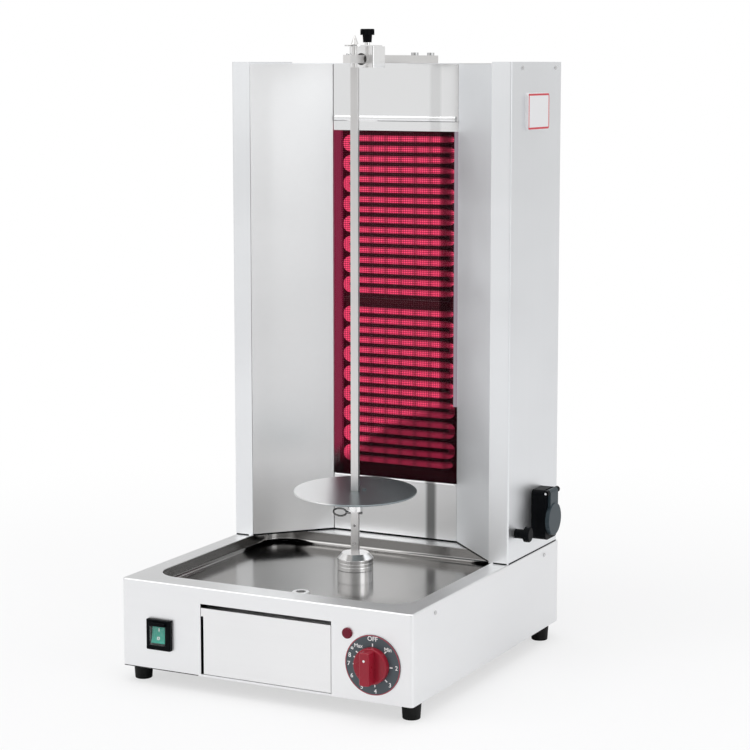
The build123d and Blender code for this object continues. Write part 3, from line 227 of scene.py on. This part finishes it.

# %% [markdown]
# Three polished sheets show a broad dark streak, a painted reflection of something dark: the
# panel above the window, the panel below it, and the disc. The plain studio has nothing dark in
# that place, so each streak is a painted reflection: a mask on the sheet's own coordinates mixes a
# darker gray into the brushed colour. Unlike a real reflection, it stays put when the viewer
# moves.

# %% Painted reflections on the panels and the disc
UPPER_PANEL_FROM, LOWER_PANEL_TO = 0.5, 0.3
panels = steel("panel_steel", 0.97, 0.14, ACROSS, 0.004, 0.01)
x, y, z = panels.axes()
upper_painted_reflection = panels.ramp((x - 37 * MM).maths("ABSOLUTE"), 9 * MM, 4 * MM) * 0.16
lower_painted_reflection = panels.ramp((x - 33 * MM).maths("ABSOLUTE"), 9 * MM, 3 * MM) * 0.82
painted_reflections = upper_painted_reflection * (z > UPPER_PANEL_FROM) + lower_painted_reflection * (z < LOWER_PANEL_TO)
panels.color(panels.mix(painted_reflections, panels.fed("Base Color"), gray(0.10)))
panels.give("Roughness", panels.fed("Roughness") + (z < LOWER_PANEL_TO) * 0.24)

disc = steel("disc_steel", 0.80, 0.36, DISC_GRAIN)
disc_low, disc_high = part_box("meat_disc")
disc_mid = (disc_low + disc_high) / 2
x, y, z = disc.axes()
sideways = (x - disc_mid.x) * 0.89 + (y - disc_mid.y) * 0.45
# The disc's darker, bluish right part is a painted reflection as well.
shade = disc.ramp(sideways, -34 * MM, -16 * MM) * (z > disc_mid.z - 5 * MM)
disc.color(disc.mix(shade * 0.74, disc.fed("Base Color"), (0.12, 0.175, 0.195, 1.0)))
print("steels with the streaked ones", len(materials))

# %% [markdown]
# The base is one folded and welded sheet: its walls are brushed, and the tray pressed into its top
# is polished like a mirror. Both are the same part, so a mask made from the part's own coordinates
# chooses the finish: inside the tray's outline and below the rim is polished. The tray's gray,
# far darker than the walls' steel, is a painted dark reflection.

# %% Base with its polished tray
base_low, base_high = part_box("base_shell")
rim_side, rim_front, rim_drop = 21 * MM, 27 * MM, 0.8 * MM
tray_back_y, tray_floor = 105 * MM, 70 * MM
base = steel("base_steel", 0.90, 0.40, ACROSS, 0.004, 0.03)
x, y, z = base.axes()
inside_x = (x > base_low.x + rim_side - MM) * (x < base_high.x - rim_side + MM)
inside_y = (y > base_low.y + rim_front - MM) * (y < tray_back_y + MM)
inside_z = (z < base_high.z - rim_drop) * (z > base_low.z + tray_floor)
tray = inside_x * inside_y * inside_z
wiped = base.noise(9.0, 5.0, (1.0, 1.0, 1.0), 0.6)
polish = 0.13 + base.ramp(wiped, 0.35, 0.75) * 0.08
base.give("Roughness", base.fed("Roughness") * (1 - tray) + polish * tray)
# Painted dark reflection: the tray is the same steel, given a much darker gray.
tray_painted_dark_reflection = base.mix(wiped, gray(0.33, 0.008), gray(0.43, 0.008))
base.color(base.mix(tray, base.fed("Base Color"), tray_painted_dark_reflection))
print("tray polished between", round(base_low.x + rim_side, 3), round(base_high.x - rim_side, 3))

# %% [markdown]
# Plastics: black with a fine moulded grain, slate for the socket's lid, glossy green for the
# rocker and red for the heat knob. Moulded plastic has a soft gloss with a slight orange peel, so
# a small noise moves its normal and its roughness a little. The same recipe, with other values,
# serves for rubber, paint, print, bronze and cast metal.

# %% Plastics and rubber
def plastic(name, color, roughness, grain=900.0, depth=0.15, spread=0.15, coat=0.0, shine=0.5):
    paint = Paint(name, Coat_Weight=coat, Coat_Roughness=0.12, Specular_IOR_Level=shine)
    fine = paint.noise(grain, 2.0)
    slow = paint.noise(30.0, 3.0)
    darker = [c * (1 - spread) for c in color[:3]] + [1.0]
    lighter = [min(c * (1 + spread), 1.0) for c in color[:3]] + [1.0]
    paint.color(paint.mix(slow, darker, lighter))
    paint.give("Roughness", roughness + (slow - 0.5) * 0.2 * roughness)
    paint.bump(fine, depth, 0.05 * MM)
    return paint.keep()


plastic("black_plastic", (0.002, 0.0025, 0.0035), 0.40, shine=0.06)
plastic("slate_plastic", (0.032, 0.048, 0.058), 0.36, shine=0.25)
plastic("rubber", (0.006, 0.006, 0.006), 0.55, 500.0, 0.4, shine=0.2)
plastic("motor_paint", (0.10, 0.10, 0.11), 0.40)
plastic("bronze", (0.45, 0.28, 0.10), 0.35)
plastic("cast_metal", (0.42, 0.42, 0.43), 0.48, 350.0, 0.5)
plastic("lamp_red", (0.15, 0.006, 0.022), 0.2, 300.0, 0.1, 0.2, 0.1, 0.2)
plastic("slate_print", (0.060, 0.078, 0.090), 0.42, 700.0, 0.1, 0.08)
plastic("white_print", (0.95, 0.95, 0.95), 0.45, 700.0, 0.05, 0.02)
plastic("red_print", (0.42, 0.04, 0.07), 0.45, 700.0, 0.05, 0.05)
plastic("green_plastic", (0.01, 0.33, 0.24), 0.22, 300.0, 0.02, 0.15, 0.3, 0.3)
print("plastics made")

# %% [markdown]
# The red heat knob has a white dot near the top of its bar, which says where it points. It is
# filled paint, level with the plastic, so a mask on the knob's own coordinates paints it.

# %% Heat knob with its dot
knob_low, knob_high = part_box("control_knob")
knob_mid = (knob_low + knob_high) / 2
dot_up, dot_radius = 9.0 * MM, 1.3 * MM
knob = plastic("red_plastic", (0.30, 0.010, 0.026), 0.28, 500.0, 0.1, 0.1, 0.15, 0.3)
x, y, z = knob.axes()
dx, dz = x - knob_mid.x, z - (knob_mid.z + dot_up)
dot = (dx * dx + dz * dz < dot_radius * dot_radius) * (y < knob_low.y + 0.6 * MM)
knob.color(knob.mix(dot, knob.fed("Base Color"), gray(0.85)))
print("dot at", round(knob_mid.x, 4), round(knob_mid.z + dot_up, 4))

# %% [markdown]
# The badge is a white plate with a red line just inside its edge. The line is printed, so it is
# again a mask: the smallest of the distances to the four edges, between two values.

# %% Badge with its printed border
badge_low, badge_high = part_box("badge_plate")
badge = plastic("badge_white", (0.82, 0.82, 0.83), 0.3, 500.0, 0.05, 0.03)
x, y, z = badge.axes()
nearest = None
for reach in (y - badge_low.y, badge_high.y - y, z - badge_low.z, badge_high.z - z):
    nearest = reach if nearest is None else nearest.maths("MINIMUM", reach)
line_from, line_to = 0.7 * MM, 2.9 * MM
line = (nearest > line_from) * (nearest < line_to) * (x > badge_high.x - 0.3 * MM)
badge.color(badge.mix(line, badge.fed("Base Color"), (0.62, 0.02, 0.04, 1.0)))
print("badge", [round(v * 1000, 1) for v in badge_high - badge_low])

# %% [markdown]
# The heater: coiled tubes glow pink-red in level rows. The glow is an emission that fades towards
# the upper and lower edge of each row and is pinched at each link of the coil. The board behind
# glows a deep maroon in the same pattern: painted light from the tubes, as the board is no lamp.
# Reflections leave the glow out, so the steel round it stays clean.

# %% Glowing tubes and the board's painted light
ROW_PITCH, LINK_LENGTH = 11.8 * MM, 19.0 * MM


def lit(name, coil, color, dim_share, strength):
    coil_low, coil_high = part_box(coil)
    paint = Paint(name, 0.6, Emission_Strength=strength)
    paint.color((0.02, 0.001, 0.004, 1.0))
    x, y, z = paint.axes()
    link = (x - coil_low.x) * (2 * math.pi / LINK_LENGTH)
    pinch = paint.ramp(link.maths("COSINE"), 0.30, 1.0)
    row = (z - (coil_high.z - ROW_PITCH / 3)) * (2 * math.pi / ROW_PITCH)
    crown = paint.ramp(row.maths("COSINE"), -0.45, 0.75)
    patch = paint.noise(40.0, 3.0)
    bulge = paint.ramp(x, coil_low.x + 11 * MM, coil_low.x + 8 * MM)
    tail = paint.ramp(x, coil_high.x - 13 * MM, coil_high.x - 9 * MM)
    crown = crown.maths("MAXIMUM", bulge) * (1 - tail) + crown * crown * tail
    glow = (0.25 * (1 - tail) + crown * 0.75) * (1 - pinch * 0.55) * (0.75 + patch * 0.5)
    dim = [c * dim_share for c in color[:3]] + [1.0]
    paint.give("Emission Color", paint.mix(glow, dim, color))
    paint.keep()


tube_red = (0.95, 0.060, 0.16, 1.0)
lit("tube_glow_upper", "heating_coil_upper", tube_red, 0.18, 1.3)
lit("tube_glow_lower", "heating_coil_lower", tube_red, 0.18, 1.3)
# The board's maroon emission is painted light from the tubes.
lit("board_painted_tube_light", "heating_coil_upper", (0.085, 0.001, 0.007, 1.0), 0.5, 0.5)
for name in ("heating_coil_upper", "heating_coil_lower"):
    nodes[name].visible_glossy = False
    nodes[name].visible_diffuse = False
nodes["insulation_board"].visible_glossy = False
print("coils and board lit")

# %% [markdown]
# The glass in front is tinted in two fields. The upper one is light, with fine dots and a faint
# haze of the tubes' light, which is painted light: an emission on the glass itself. The lower
# right one is darker and nearly without dots. The border between them slopes, steeply first and
# then less so, and a narrow strip runs up each upright edge, with a painted glow, maroon on the
# left and pale gray on the right. Masks on the glass's own coordinates set its Alpha, which is
# how much it hides, and its painted glow. They are painted too, so they stay put when the viewer
# moves.

# %% Tinted glass with painted glow
DOT_PITCH = 4.6 * MM
BEND_ACROSS, BEND_UP, STEEP, SHALLOW = 68.5 * MM, 69 * MM, 0.757, 0.426
FIELD_END, EDGE_START, EDGE_FOOT = 136.3 * MM, 150.3 * MM, 97 * MM
STRIP_END, PALE_START = 9.6 * MM, 154.6 * MM
glass = Paint("heater_glass", 0.05, Specular_IOR_Level=0.06, IOR=1.5, Emission_Strength=1.0)
glass_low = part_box("ceramic_glass")[0]
haze = glass.noise(25.0, 4.0)
x, y, z = glass.axes()
weave = 2 * math.pi / DOT_PITCH
dots = ((x + z) * weave).maths("SINE") * ((x - z) * weave).maths("SINE")
across, up = x - glass_low.x, z - glass_low.z
steep = (across - BEND_ACROSS) * STEEP + BEND_UP
shallow = (across - BEND_ACROSS) * SHALLOW + BEND_UP
above = up - steep.maths("MINIMUM", shallow)
edge_zone = (across > EDGE_START) * (up > EDGE_FOOT)
printed = glass.ramp(above, -9 * MM, 7 * MM) * (across < FIELD_END) + edge_zone
side_strip = (across < STRIP_END) * glass.ramp(above, 0.0, 25 * MM)
pale_strip = (across > PALE_START) * edge_zone
# The emission colours are painted light: the tubes' haze on the glass and the glow of its edge
# strips.
glow = glass.mix(side_strip, (0.024, 0.002, 0.006, 1.0), (0.20, 0.016, 0.045, 1.0))
glow = glass.mix(pale_strip, glow, (0.30, 0.26, 0.30, 1.0))
glow = glass.mix(printed.maths("MAXIMUM", side_strip), (0.0, 0.0, 0.0, 1.0), glow)
glass.give("Emission Color", glow)
glass.color(glass.mix(haze, (0.006, 0.001, 0.002, 1.0), (0.010, 0.001, 0.003, 1.0)))
corner = (across < STRIP_END) * (1 - printed) * 0.95
veil = (0.56 - printed * 0.28 + dots * (0.03 + printed * 0.27)).maths("MAXIMUM", corner)
strips = (side_strip * 0.9).maths("MAXIMUM", pale_strip)
glass.give("Alpha", veil.maths("MAXIMUM", strips))
glass.give("Roughness", 0.03 + haze * 0.04)
glass.bump(haze, 0.02, 0.02 * MM)
glass.keep()
print("heater finishes made")

# %% [markdown]
# Every CAD part gets its finish from a table of short lists, one finish to a row. A part that is
# left out would show up in the check at the end of the cell.

# %% Dress the CAD parts
finishes = {
    "base_steel": ["base_shell"],
    "cabinet_steel": [
        "cabinet_side_left", "cabinet_side_right", "cabinet_cover", "rear_panel", "heater_pan",
    ],
    "wing_steel": ["wing_left"],
    "wing_steel_painted_brighter": ["wing_right"],
    "eyelet_steel": ["drain_eyelet", "socket_pin"],
    "shaded_pin_steel": ["locking_pin"],
    "panel_steel": ["upper_panel", "lower_panel", "glass_retainer"],
    "drawer_steel": ["drawer_front"],
    "inner_steel": ["base_floor", "drawer_pan", "drawer_guide"],
    "turned_steel": [
        "hub_collar", "drive_hub", "clamp_block", "lock_plate", "clamp_screw", "disc_collar",
    ],
    "bar_steel": ["spit_bar", "top_arm"],
    "disc_steel": ["meat_disc"],
    "screw_steel": ["foot_screws", "gearbox_studs", "arm_bolts", "panel_screws", "stop_screw"],
    "gear_steel": ["drive_wheel", "motor_pinion", "regulator_spindle"],
    "black_plastic": [
        "switch_body", "side_knob", "clamp_knob", "socket_body", "regulator_body", "cable_gland",
    ],
    "slate_plastic": ["socket_lid"],
    "rubber": [
        "shaft_seal", "foot_front_left", "foot_front_right", "foot_back_left", "foot_back_right",
    ],
    "motor_paint": ["motor_can"],
    "bronze": ["shaft_bush"],
    "cast_metal": ["gearbox_case", "gearbox_lid"],
    "lamp_red": ["pilot_lamp"],
    "slate_print": ["dial_plate"],
    "green_plastic": ["rocker"],
    "red_plastic": ["control_knob"],
    "badge_white": ["badge_plate"],
    "tube_glow_upper": ["heating_coil_upper"],
    "tube_glow_lower": ["heating_coil_lower"],
    "board_painted_tube_light": ["insulation_board"],
    "heater_glass": ["ceramic_glass"],
}
dressed = set()
for finish, names in finishes.items():
    for name in names:
        nodes[name].data.materials.clear()
        nodes[name].data.materials.append(materials[finish])
        dressed.add(name)
print("dressed", len(dressed), "left", sorted(set(nodes) - dressed))

# %% [markdown]
# New pieces all end the same way: a bmesh becomes an object whose place is in its mesh, with one
# material, riding on a body. One helper does that, and smooths the faces by their angle. Two more
# add the commonest forms to a mesh: a box, and a ring spun from a small rectangle.

# %% Finish a piece
def piece(name, mesh, finish, body, smooth=35.0):
    bmesh.ops.recalc_face_normals(mesh, faces=mesh.faces)
    data = bpy.data.meshes.new(name)
    mesh.to_mesh(data)
    mesh.free()
    if smooth:
        data.shade_smooth()
        data.set_sharp_from_angle(angle=math.radians(smooth))
    made = bpy.data.objects.new(name, data)
    bpy.context.scene.collection.objects.link(made)
    data.materials.append(materials[finish])
    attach(made, body)
    print(name, len(data.polygons), "faces")


def add_box(mesh, place):
    """A cube of one metre, put in its place and size by a matrix."""
    verts = bmesh.ops.create_cube(mesh, size=1.0)["verts"]
    bmesh.ops.transform(mesh, matrix=place, verts=verts)


def add_ring(mesh, inner, outer, back, front, steps, place=Matrix()):
    """A ring about Z, between two radii and two heights, moved by a matrix."""
    first = len(mesh.verts)
    corners = [(inner, back), (outer, back), (outer, front), (inner, front)]
    verts = [mesh.verts.new((radius, 0, height)) for radius, height in corners]
    edges = [mesh.edges.new((verts[i], verts[(i + 1) % 4])) for i in range(4)]
    bmesh.ops.spin(
        mesh, geom=verts + edges, cent=(0, 0, 0), axis=(0, 0, 1), angle=2 * math.pi,
        steps=steps, use_merge=True,
    )
    mesh.verts.ensure_lookup_table()
    bmesh.ops.transform(mesh, matrix=place, verts=mesh.verts[first:])


def facing_front(x, y, z):
    """Turns a flat shape drawn on X and Y so that it faces -Y, and moves it to its place."""
    return Matrix.Translation((x, y, z)) @ Matrix.Rotation(math.radians(90), 4, "X")


# %% [markdown]
# The dial's print: OFF, Min, the numbers and Max stand round the knob at uneven steps. Each word
# is a Text object made a mesh, and stays upright. Short bars, turned about the knob, mark the
# settings.

# %% Dial print
dial_low, dial_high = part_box("dial_plate")
dial_mid = (dial_low + dial_high) / 2
print_y, print_height = dial_low.y - 0.02 * MM, 0.12 * MM


def words(text, size):
    curve = bpy.data.curves.new("words", "FONT")
    curve.body = text
    curve.size = size
    curve.align_x = "CENTER"
    curve.align_y = "CENTER"
    curve.extrude = print_height / 2
    curve.offset = size * 0.010
    carrier = bpy.data.objects.new("words", curve)
    bpy.context.scene.collection.objects.link(carrier)
    bpy.context.view_layer.update()
    data = bpy.data.meshes.new_from_object(carrier)
    bpy.data.objects.remove(carrier)
    bpy.data.curves.remove(curve)
    return data


def add_words(mesh, text, size, x, z):
    data = words(text, size)
    start = len(mesh.verts)
    mesh.from_mesh(data)
    bpy.data.meshes.remove(data)
    mesh.verts.ensure_lookup_table()
    bmesh.ops.transform(mesh, matrix=facing_front(x, print_y, z), verts=mesh.verts[start:])


dial_print = bmesh.new()
dial_words = [
    ("OFF", 0, 27.4, 6.7), ("Min", 44, 25.2, 5.8), ("2", 90, 27.3, 6.4), ("3", 133, 27.3, 6.4),
    ("4", 173, 27.3, 6.4), ("5", 207, 27.3, 6.4), ("6", 240, 27.5, 6.4), ("7", 267, 27.5, 6.4),
    ("8", 286, 27.3, 6.6), ("9", 301, 27.4, 6.6), ("Max", 318.5, 24.6, 5.8),
]
for text, turn, radius, size in dial_words:
    angle = math.radians(turn)
    x = dial_mid.x + radius * MM * math.sin(angle)
    z = dial_mid.z + radius * MM * math.cos(angle)
    add_words(dial_print, text, size * MM, x, z)
dial_place = facing_front(dial_mid.x, print_y, dial_mid.z)
tick_shape = Matrix.Diagonal((1.25 * MM, 3.2 * MM, print_height, 1.0))
tick_out = Matrix.Translation((0, 21.2 * MM, 0))
for turn in (0, 44, 90, 133, 173, 207, 240, 267, 287, 303):
    around = Matrix.Rotation(math.radians(-turn), 4, "Z")
    add_box(dial_print, dial_place @ around @ tick_out @ tick_shape)
piece("dial_figures", dial_print, "white_print", "base", 0)

# %% [markdown]
# A thin red line runs round the dial plate's edge: a ring, turned to face the front.

# %% Dial rim
ring_inner, ring_outer, ring_back, ring_front = 30.6 * MM, 31.4 * MM, -0.05 * MM, 0.1 * MM
ring_place = facing_front(dial_mid.x, dial_low.y, dial_mid.z)
dial_rim = bmesh.new()
add_ring(dial_rim, ring_inner, ring_outer, ring_back, ring_front, 96, ring_place)
piece("dial_rim", dial_rim, "red_print", "base")

# %% [markdown]
# A clear splash cover sits over the rocker, on the switch's bezel. It is a box with rounded edges
# and no back, given a wall by solidify.

# %% Clear cover of the switch
rocker_low, rocker_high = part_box("rocker")
switch_mid_x = (rocker_low.x + rocker_high.x) / 2
switch_mid_z = (rocker_low.z + rocker_high.z) / 2
bezel_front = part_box("switch_body")[0].y
clear = Paint("clear_cover", 0.08, IOR=1.45)
faint = clear.noise(60.0, 3.0)
clear.color(clear.mix(faint, (0.75, 0.85, 0.82, 1.0), (0.85, 0.92, 0.9, 1.0)))
clear.give("Alpha", 0.03 + faint * 0.02)
clear.bump(faint, 0.01, 0.05 * MM)
clear.keep()
cover = bmesh.new()
cover_size = (19.2 * MM, 2.6 * MM, 24.2 * MM)
cover_place = (switch_mid_x, bezel_front - 1.25 * MM, switch_mid_z)
add_box(cover, Matrix.Translation(cover_place) @ Matrix.Diagonal((*cover_size, 1.0)))
open_back = [f for f in cover.faces if f.normal.y > 0.9]
bmesh.ops.delete(cover, geom=open_back, context="FACES_ONLY")
outer_edges = [e for e in cover.edges if not e.is_boundary]
bmesh.ops.bevel(
    cover, geom=outer_edges, offset=0.9 * MM, segments=4, profile=0.5, material=-1, affect="EDGES"
)
bmesh.ops.recalc_face_normals(cover, faces=cover.faces)
bmesh.ops.solidify(cover, geom=cover.faces[:], thickness=0.5 * MM)
piece("switch_cover", cover, "clear_cover", "base")

# %% [markdown]
# The rocker carries two white marks, a bar and a ring, that follow its tilted face: a ray cast
# from the front finds the face's point and its normal, and the mark is laid there. A black bar
# across the top of the cover is painted shadow.

# %% Rocker marks and the painted shadow above them
rocker = nodes["rocker"]


def on_rocker(z):
    back = rocker.matrix_world.inverted()
    start = back @ Vector((switch_mid_x, bezel_front - 0.05, z))
    point, normal = rocker.ray_cast(start, back.to_3x3() @ Vector((0, 1, 0)))[1:3]
    point = rocker.matrix_world @ point
    tilt = math.atan2(normal.z, -normal.y)
    return Matrix.Translation(point) @ Matrix.Rotation(math.radians(90) - tilt, 4, "X")


mark_away, mark_thick = 4.6 * MM, 0.2 * MM
rocker_marks = bmesh.new()
mark_shape = Matrix.Diagonal((0.9 * MM, 3.6 * MM, mark_thick, 1.0))
add_box(rocker_marks, on_rocker(switch_mid_z + mark_away) @ mark_shape)
ring_place = on_rocker(switch_mid_z - mark_away)
add_ring(
    rocker_marks, 1.1 * MM, 1.8 * MM, -mark_thick / 2, mark_thick / 2, 32, ring_place,
)
piece("rocker_marks", rocker_marks, "white_print", "rocker", 0)


def bar_piece(name, low, high, finish, body, edge=0.2 * MM):
    """A box between two corners with small rounded edges."""
    low, high = Vector(low), Vector(high)
    box = bmesh.new()
    add_box(box, Matrix.Translation((low + high) / 2) @ Matrix.Diagonal((*(high - low), 1.0)))
    bmesh.ops.bevel(
        box, geom=box.edges[:], offset=edge, segments=2, profile=0.5, material=-1,
        affect="EDGES",
    )
    piece(name, box, finish, body)


# A black bar across the cover's top: painted shadow.
bar_piece(
    "switch_top_shadow",
    (switch_mid_x - 9.9 * MM, bezel_front - 3.0 * MM, switch_mid_z + 9.2 * MM),
    (switch_mid_x + 9.9 * MM, bezel_front + 0.3 * MM, switch_mid_z + 13.0 * MM),
    "black_plastic", "base",
)

# %% [markdown]
# A black bar is painted shadow in the seam between each cabinet side and the base, and turns the
# corner to the front. It is a thin bar that stands a fraction of a millimetre proud of the sheet.
# A last thin black bar is the painted shadow line along the base's lower front edge, up to the
# drawer.

# %% Painted shadow lines at the seams
# These black bars are painted shadow in the seams.
shadow_bar_edge = 0.1 * MM
for name, way in (("left", -1), ("right", 1)):
    side_low, side_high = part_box("cabinet_side_" + name)
    face = side_high.x if way > 0 else side_low.x
    near, far = sorted((face - way * 0.4 * MM, face + way * 0.25 * MM))
    top = side_low.z + 1.4 * MM
    bar_piece(
        "seam_shadow_" + name, (near, side_low.y + 2 * MM, side_low.z - 0.1 * MM),
        (far, side_high.y - MM, top), "black_plastic", "base", shadow_bar_edge,
    )
    near, far = sorted((face - way * 1.5 * MM, face - way * 18 * MM))
    bar_piece(
        "front_shadow_" + name, (near, side_low.y - 0.25 * MM, side_low.z - 0.1 * MM),
        (far, side_low.y + 0.4 * MM, top), "black_plastic", "base", shadow_bar_edge,
    )

line_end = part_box("drawer_front")[0].x - 4 * MM
bar_piece(
    "lower_edge_shadow", (base_low.x + 2 * MM, base_low.y - 0.15 * MM, base_low.z + 0.05 * MM),
    (line_end, base_low.y + 0.3 * MM, base_low.z + 0.9 * MM), "black_plastic", "base",
    shadow_bar_edge,
)

# %% [markdown]
# The same painted shadow line, a black bar, runs along the foot of the wings and of the lower
# panel, a little behind their faces. Each run is a bar between two corners of the folded wall,
# turned to follow it.

# %% Painted shadow lines under the wings and the lower panel
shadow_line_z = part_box("base_shell")[1].z
strip_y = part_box("cabinet_side_left")[0].y + 1.2 * MM
wall_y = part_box("upper_panel")[0].y + 3 * MM
flange = 9 * MM
left_strip, right_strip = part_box("wing_left")[0].x + flange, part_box("wing_right")[1].x - flange
left_corner, right_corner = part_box("lower_panel")[0].x - MM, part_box("lower_panel")[1].x
wall_corners = [
    (left_strip, strip_y), (left_corner, wall_y), (right_corner, wall_y), (right_strip, strip_y),
]
shadow_line_height, shadow_line_thick, shadow_line_back = 1.8 * MM, 0.5 * MM, 0.45 * MM
# Black bars as painted shadow along the foot of the folded wall.
foot_shadow_lines = bmesh.new()
for start, end in zip(wall_corners, wall_corners[1:]):
    start, end = Vector((*start, shadow_line_z)), Vector((*end, shadow_line_z))
    run = end - start
    shape = Matrix.Diagonal((run.length, shadow_line_thick, shadow_line_height, 1.0))
    turn = Matrix.Rotation(math.atan2(run.y, run.x), 4, "Z")
    back = Matrix.Translation((0, shadow_line_back, shadow_line_height / 2))
    add_box(foot_shadow_lines, Matrix.Translation((start + end) / 2) @ turn @ back @ shape)
piece("foot_shadow_lines", foot_shadow_lines, "black_plastic", "base", 0)

# %% [markdown]
# The floor and the backdrop are only staging. The floor is a plain pale sheet that the camera sees
# almost white, and it keeps the grill's soft shadow. The world is an even light, darker below,
# behind the camera and at the far left, so that the steel has something to reflect.

# %% Floor, lamps and world
def pale_floor():
    paint = Paint("pale_floor", 0.9)
    paint.color((0.86, 0.86, 0.87, 1.0))
    tree = paint.tree
    white = tree.nodes.new("ShaderNodeEmission")
    white.inputs[0].default_value = (1.0, 1.0, 1.0, 1.0)
    mixed = tree.nodes.new("ShaderNodeMixShader")
    seen = paint.node("ShaderNodeLightPath", {}, {}, "Is Camera Ray")
    x, y, z = paint.axes()
    away = paint.ramp((x * x + y * y).maths("SQRT"), 0.35, 1.3, 0.62, 1.0)
    tree.links.new((seen * away).socket, mixed.inputs[0])
    tree.links.new(paint.shader.outputs[0], mixed.inputs[1])
    tree.links.new(white.outputs[0], mixed.inputs[2])
    tree.links.new(mixed.outputs[0], tree.nodes["Material Output"].inputs["Surface"])
    return paint.material


floor_mesh = bmesh.new()
bmesh.ops.create_grid(floor_mesh, x_segments=1, y_segments=1, size=6.0)
floor_data = bpy.data.meshes.new("floor")
floor_mesh.to_mesh(floor_data)
floor_mesh.free()
floor_data.materials.append(pale_floor())
floor = bpy.data.objects.new("floor", floor_data)
bpy.context.scene.collection.objects.link(floor)


def soft_box(name, place, aim, width, height, watts, color=(1, 1, 1)):
    lamp = bpy.data.lights.new(name, "AREA")
    lamp.shape = "RECTANGLE"
    lamp.size, lamp.size_y = width, height
    lamp.energy = watts
    lamp.color = color
    holder = bpy.data.objects.new(name, lamp)
    holder.location = place
    holder.rotation_euler = (Vector(aim) - Vector(place)).to_track_quat("-Z", "Y").to_euler()
    bpy.context.scene.collection.objects.link(holder)
    print(name, watts, "W")


soft_box("key_left", (-1.6, -1.8, 1.9), (0, 0, 0.3), 1.6, 1.4, 10)
soft_box("fill_right", (2.2, -0.6, 1.2), (0, 0, 0.35), 1.2, 1.6, 6, (0.96, 0.98, 1.0))
soft_box("top", (0.0, -0.3, 2.4), (0, 0, 0), 1.6, 1.6, 12)

world = bpy.data.worlds.new("studio")
bpy.context.scene.world = world
world.use_nodes = True
sky = world.node_tree


def sky_node(kind, inputs, **settings):
    added = sky.nodes.new(kind)
    for name, value in settings.items():
        setattr(added, name, value)
    for socket, value in inputs.items():
        if isinstance(value, bpy.types.NodeSocket):
            sky.links.new(value, added.inputs[socket])
        else:
            added.inputs[socket].default_value = value
    return added.outputs


toward = sky_node("ShaderNodeTexCoord", {})["Generated"]
height = sky_node("ShaderNodeSeparateXYZ", {0: toward})["Z"]
room = sky_node("ShaderNodeMapRange", {0: height, 1: -0.25, 2: 0.35, 3: 0.66, 4: 0.88})[0]
lens_side = {0: toward, 1: (0.454, -0.883, 0.10)}
facing = sky_node("ShaderNodeVectorMath", lens_side, operation="DOT_PRODUCT")["Value"]
dark = sky_node("ShaderNodeMapRange", {0: facing, 1: 0.78, 2: 0.98, 3: 1.0, 4: 0.45})[0]
wall_side = {0: toward, 1: (-0.72, 0.69, 0.0)}
behind = sky_node("ShaderNodeVectorMath", wall_side, operation="DOT_PRODUCT")["Value"]
wall = sky_node("ShaderNodeMapRange", {0: behind, 1: 0.25, 2: 0.75, 3: 1.0, 4: 0.74})[0]
level = sky_node("ShaderNodeMath", {0: room, 1: dark}, operation="MULTIPLY")[0]
level = sky_node("ShaderNodeMath", {0: level, 1: wall}, operation="MULTIPLY")[0]
tone = sky_node("ShaderNodeCombineColor", {0: level, 1: level, 2: level})[0]
seen = sky_node("ShaderNodeLightPath", {})["Is Camera Ray"]
white = (1.0, 1.0, 1.0, 1.0)
shown = sky_node("ShaderNodeMix", {0: seen, 6: tone, 7: white}, data_type="RGBA")[2]
sky.links.new(shown, sky.nodes["Background"].inputs[0])
print("studio lit")
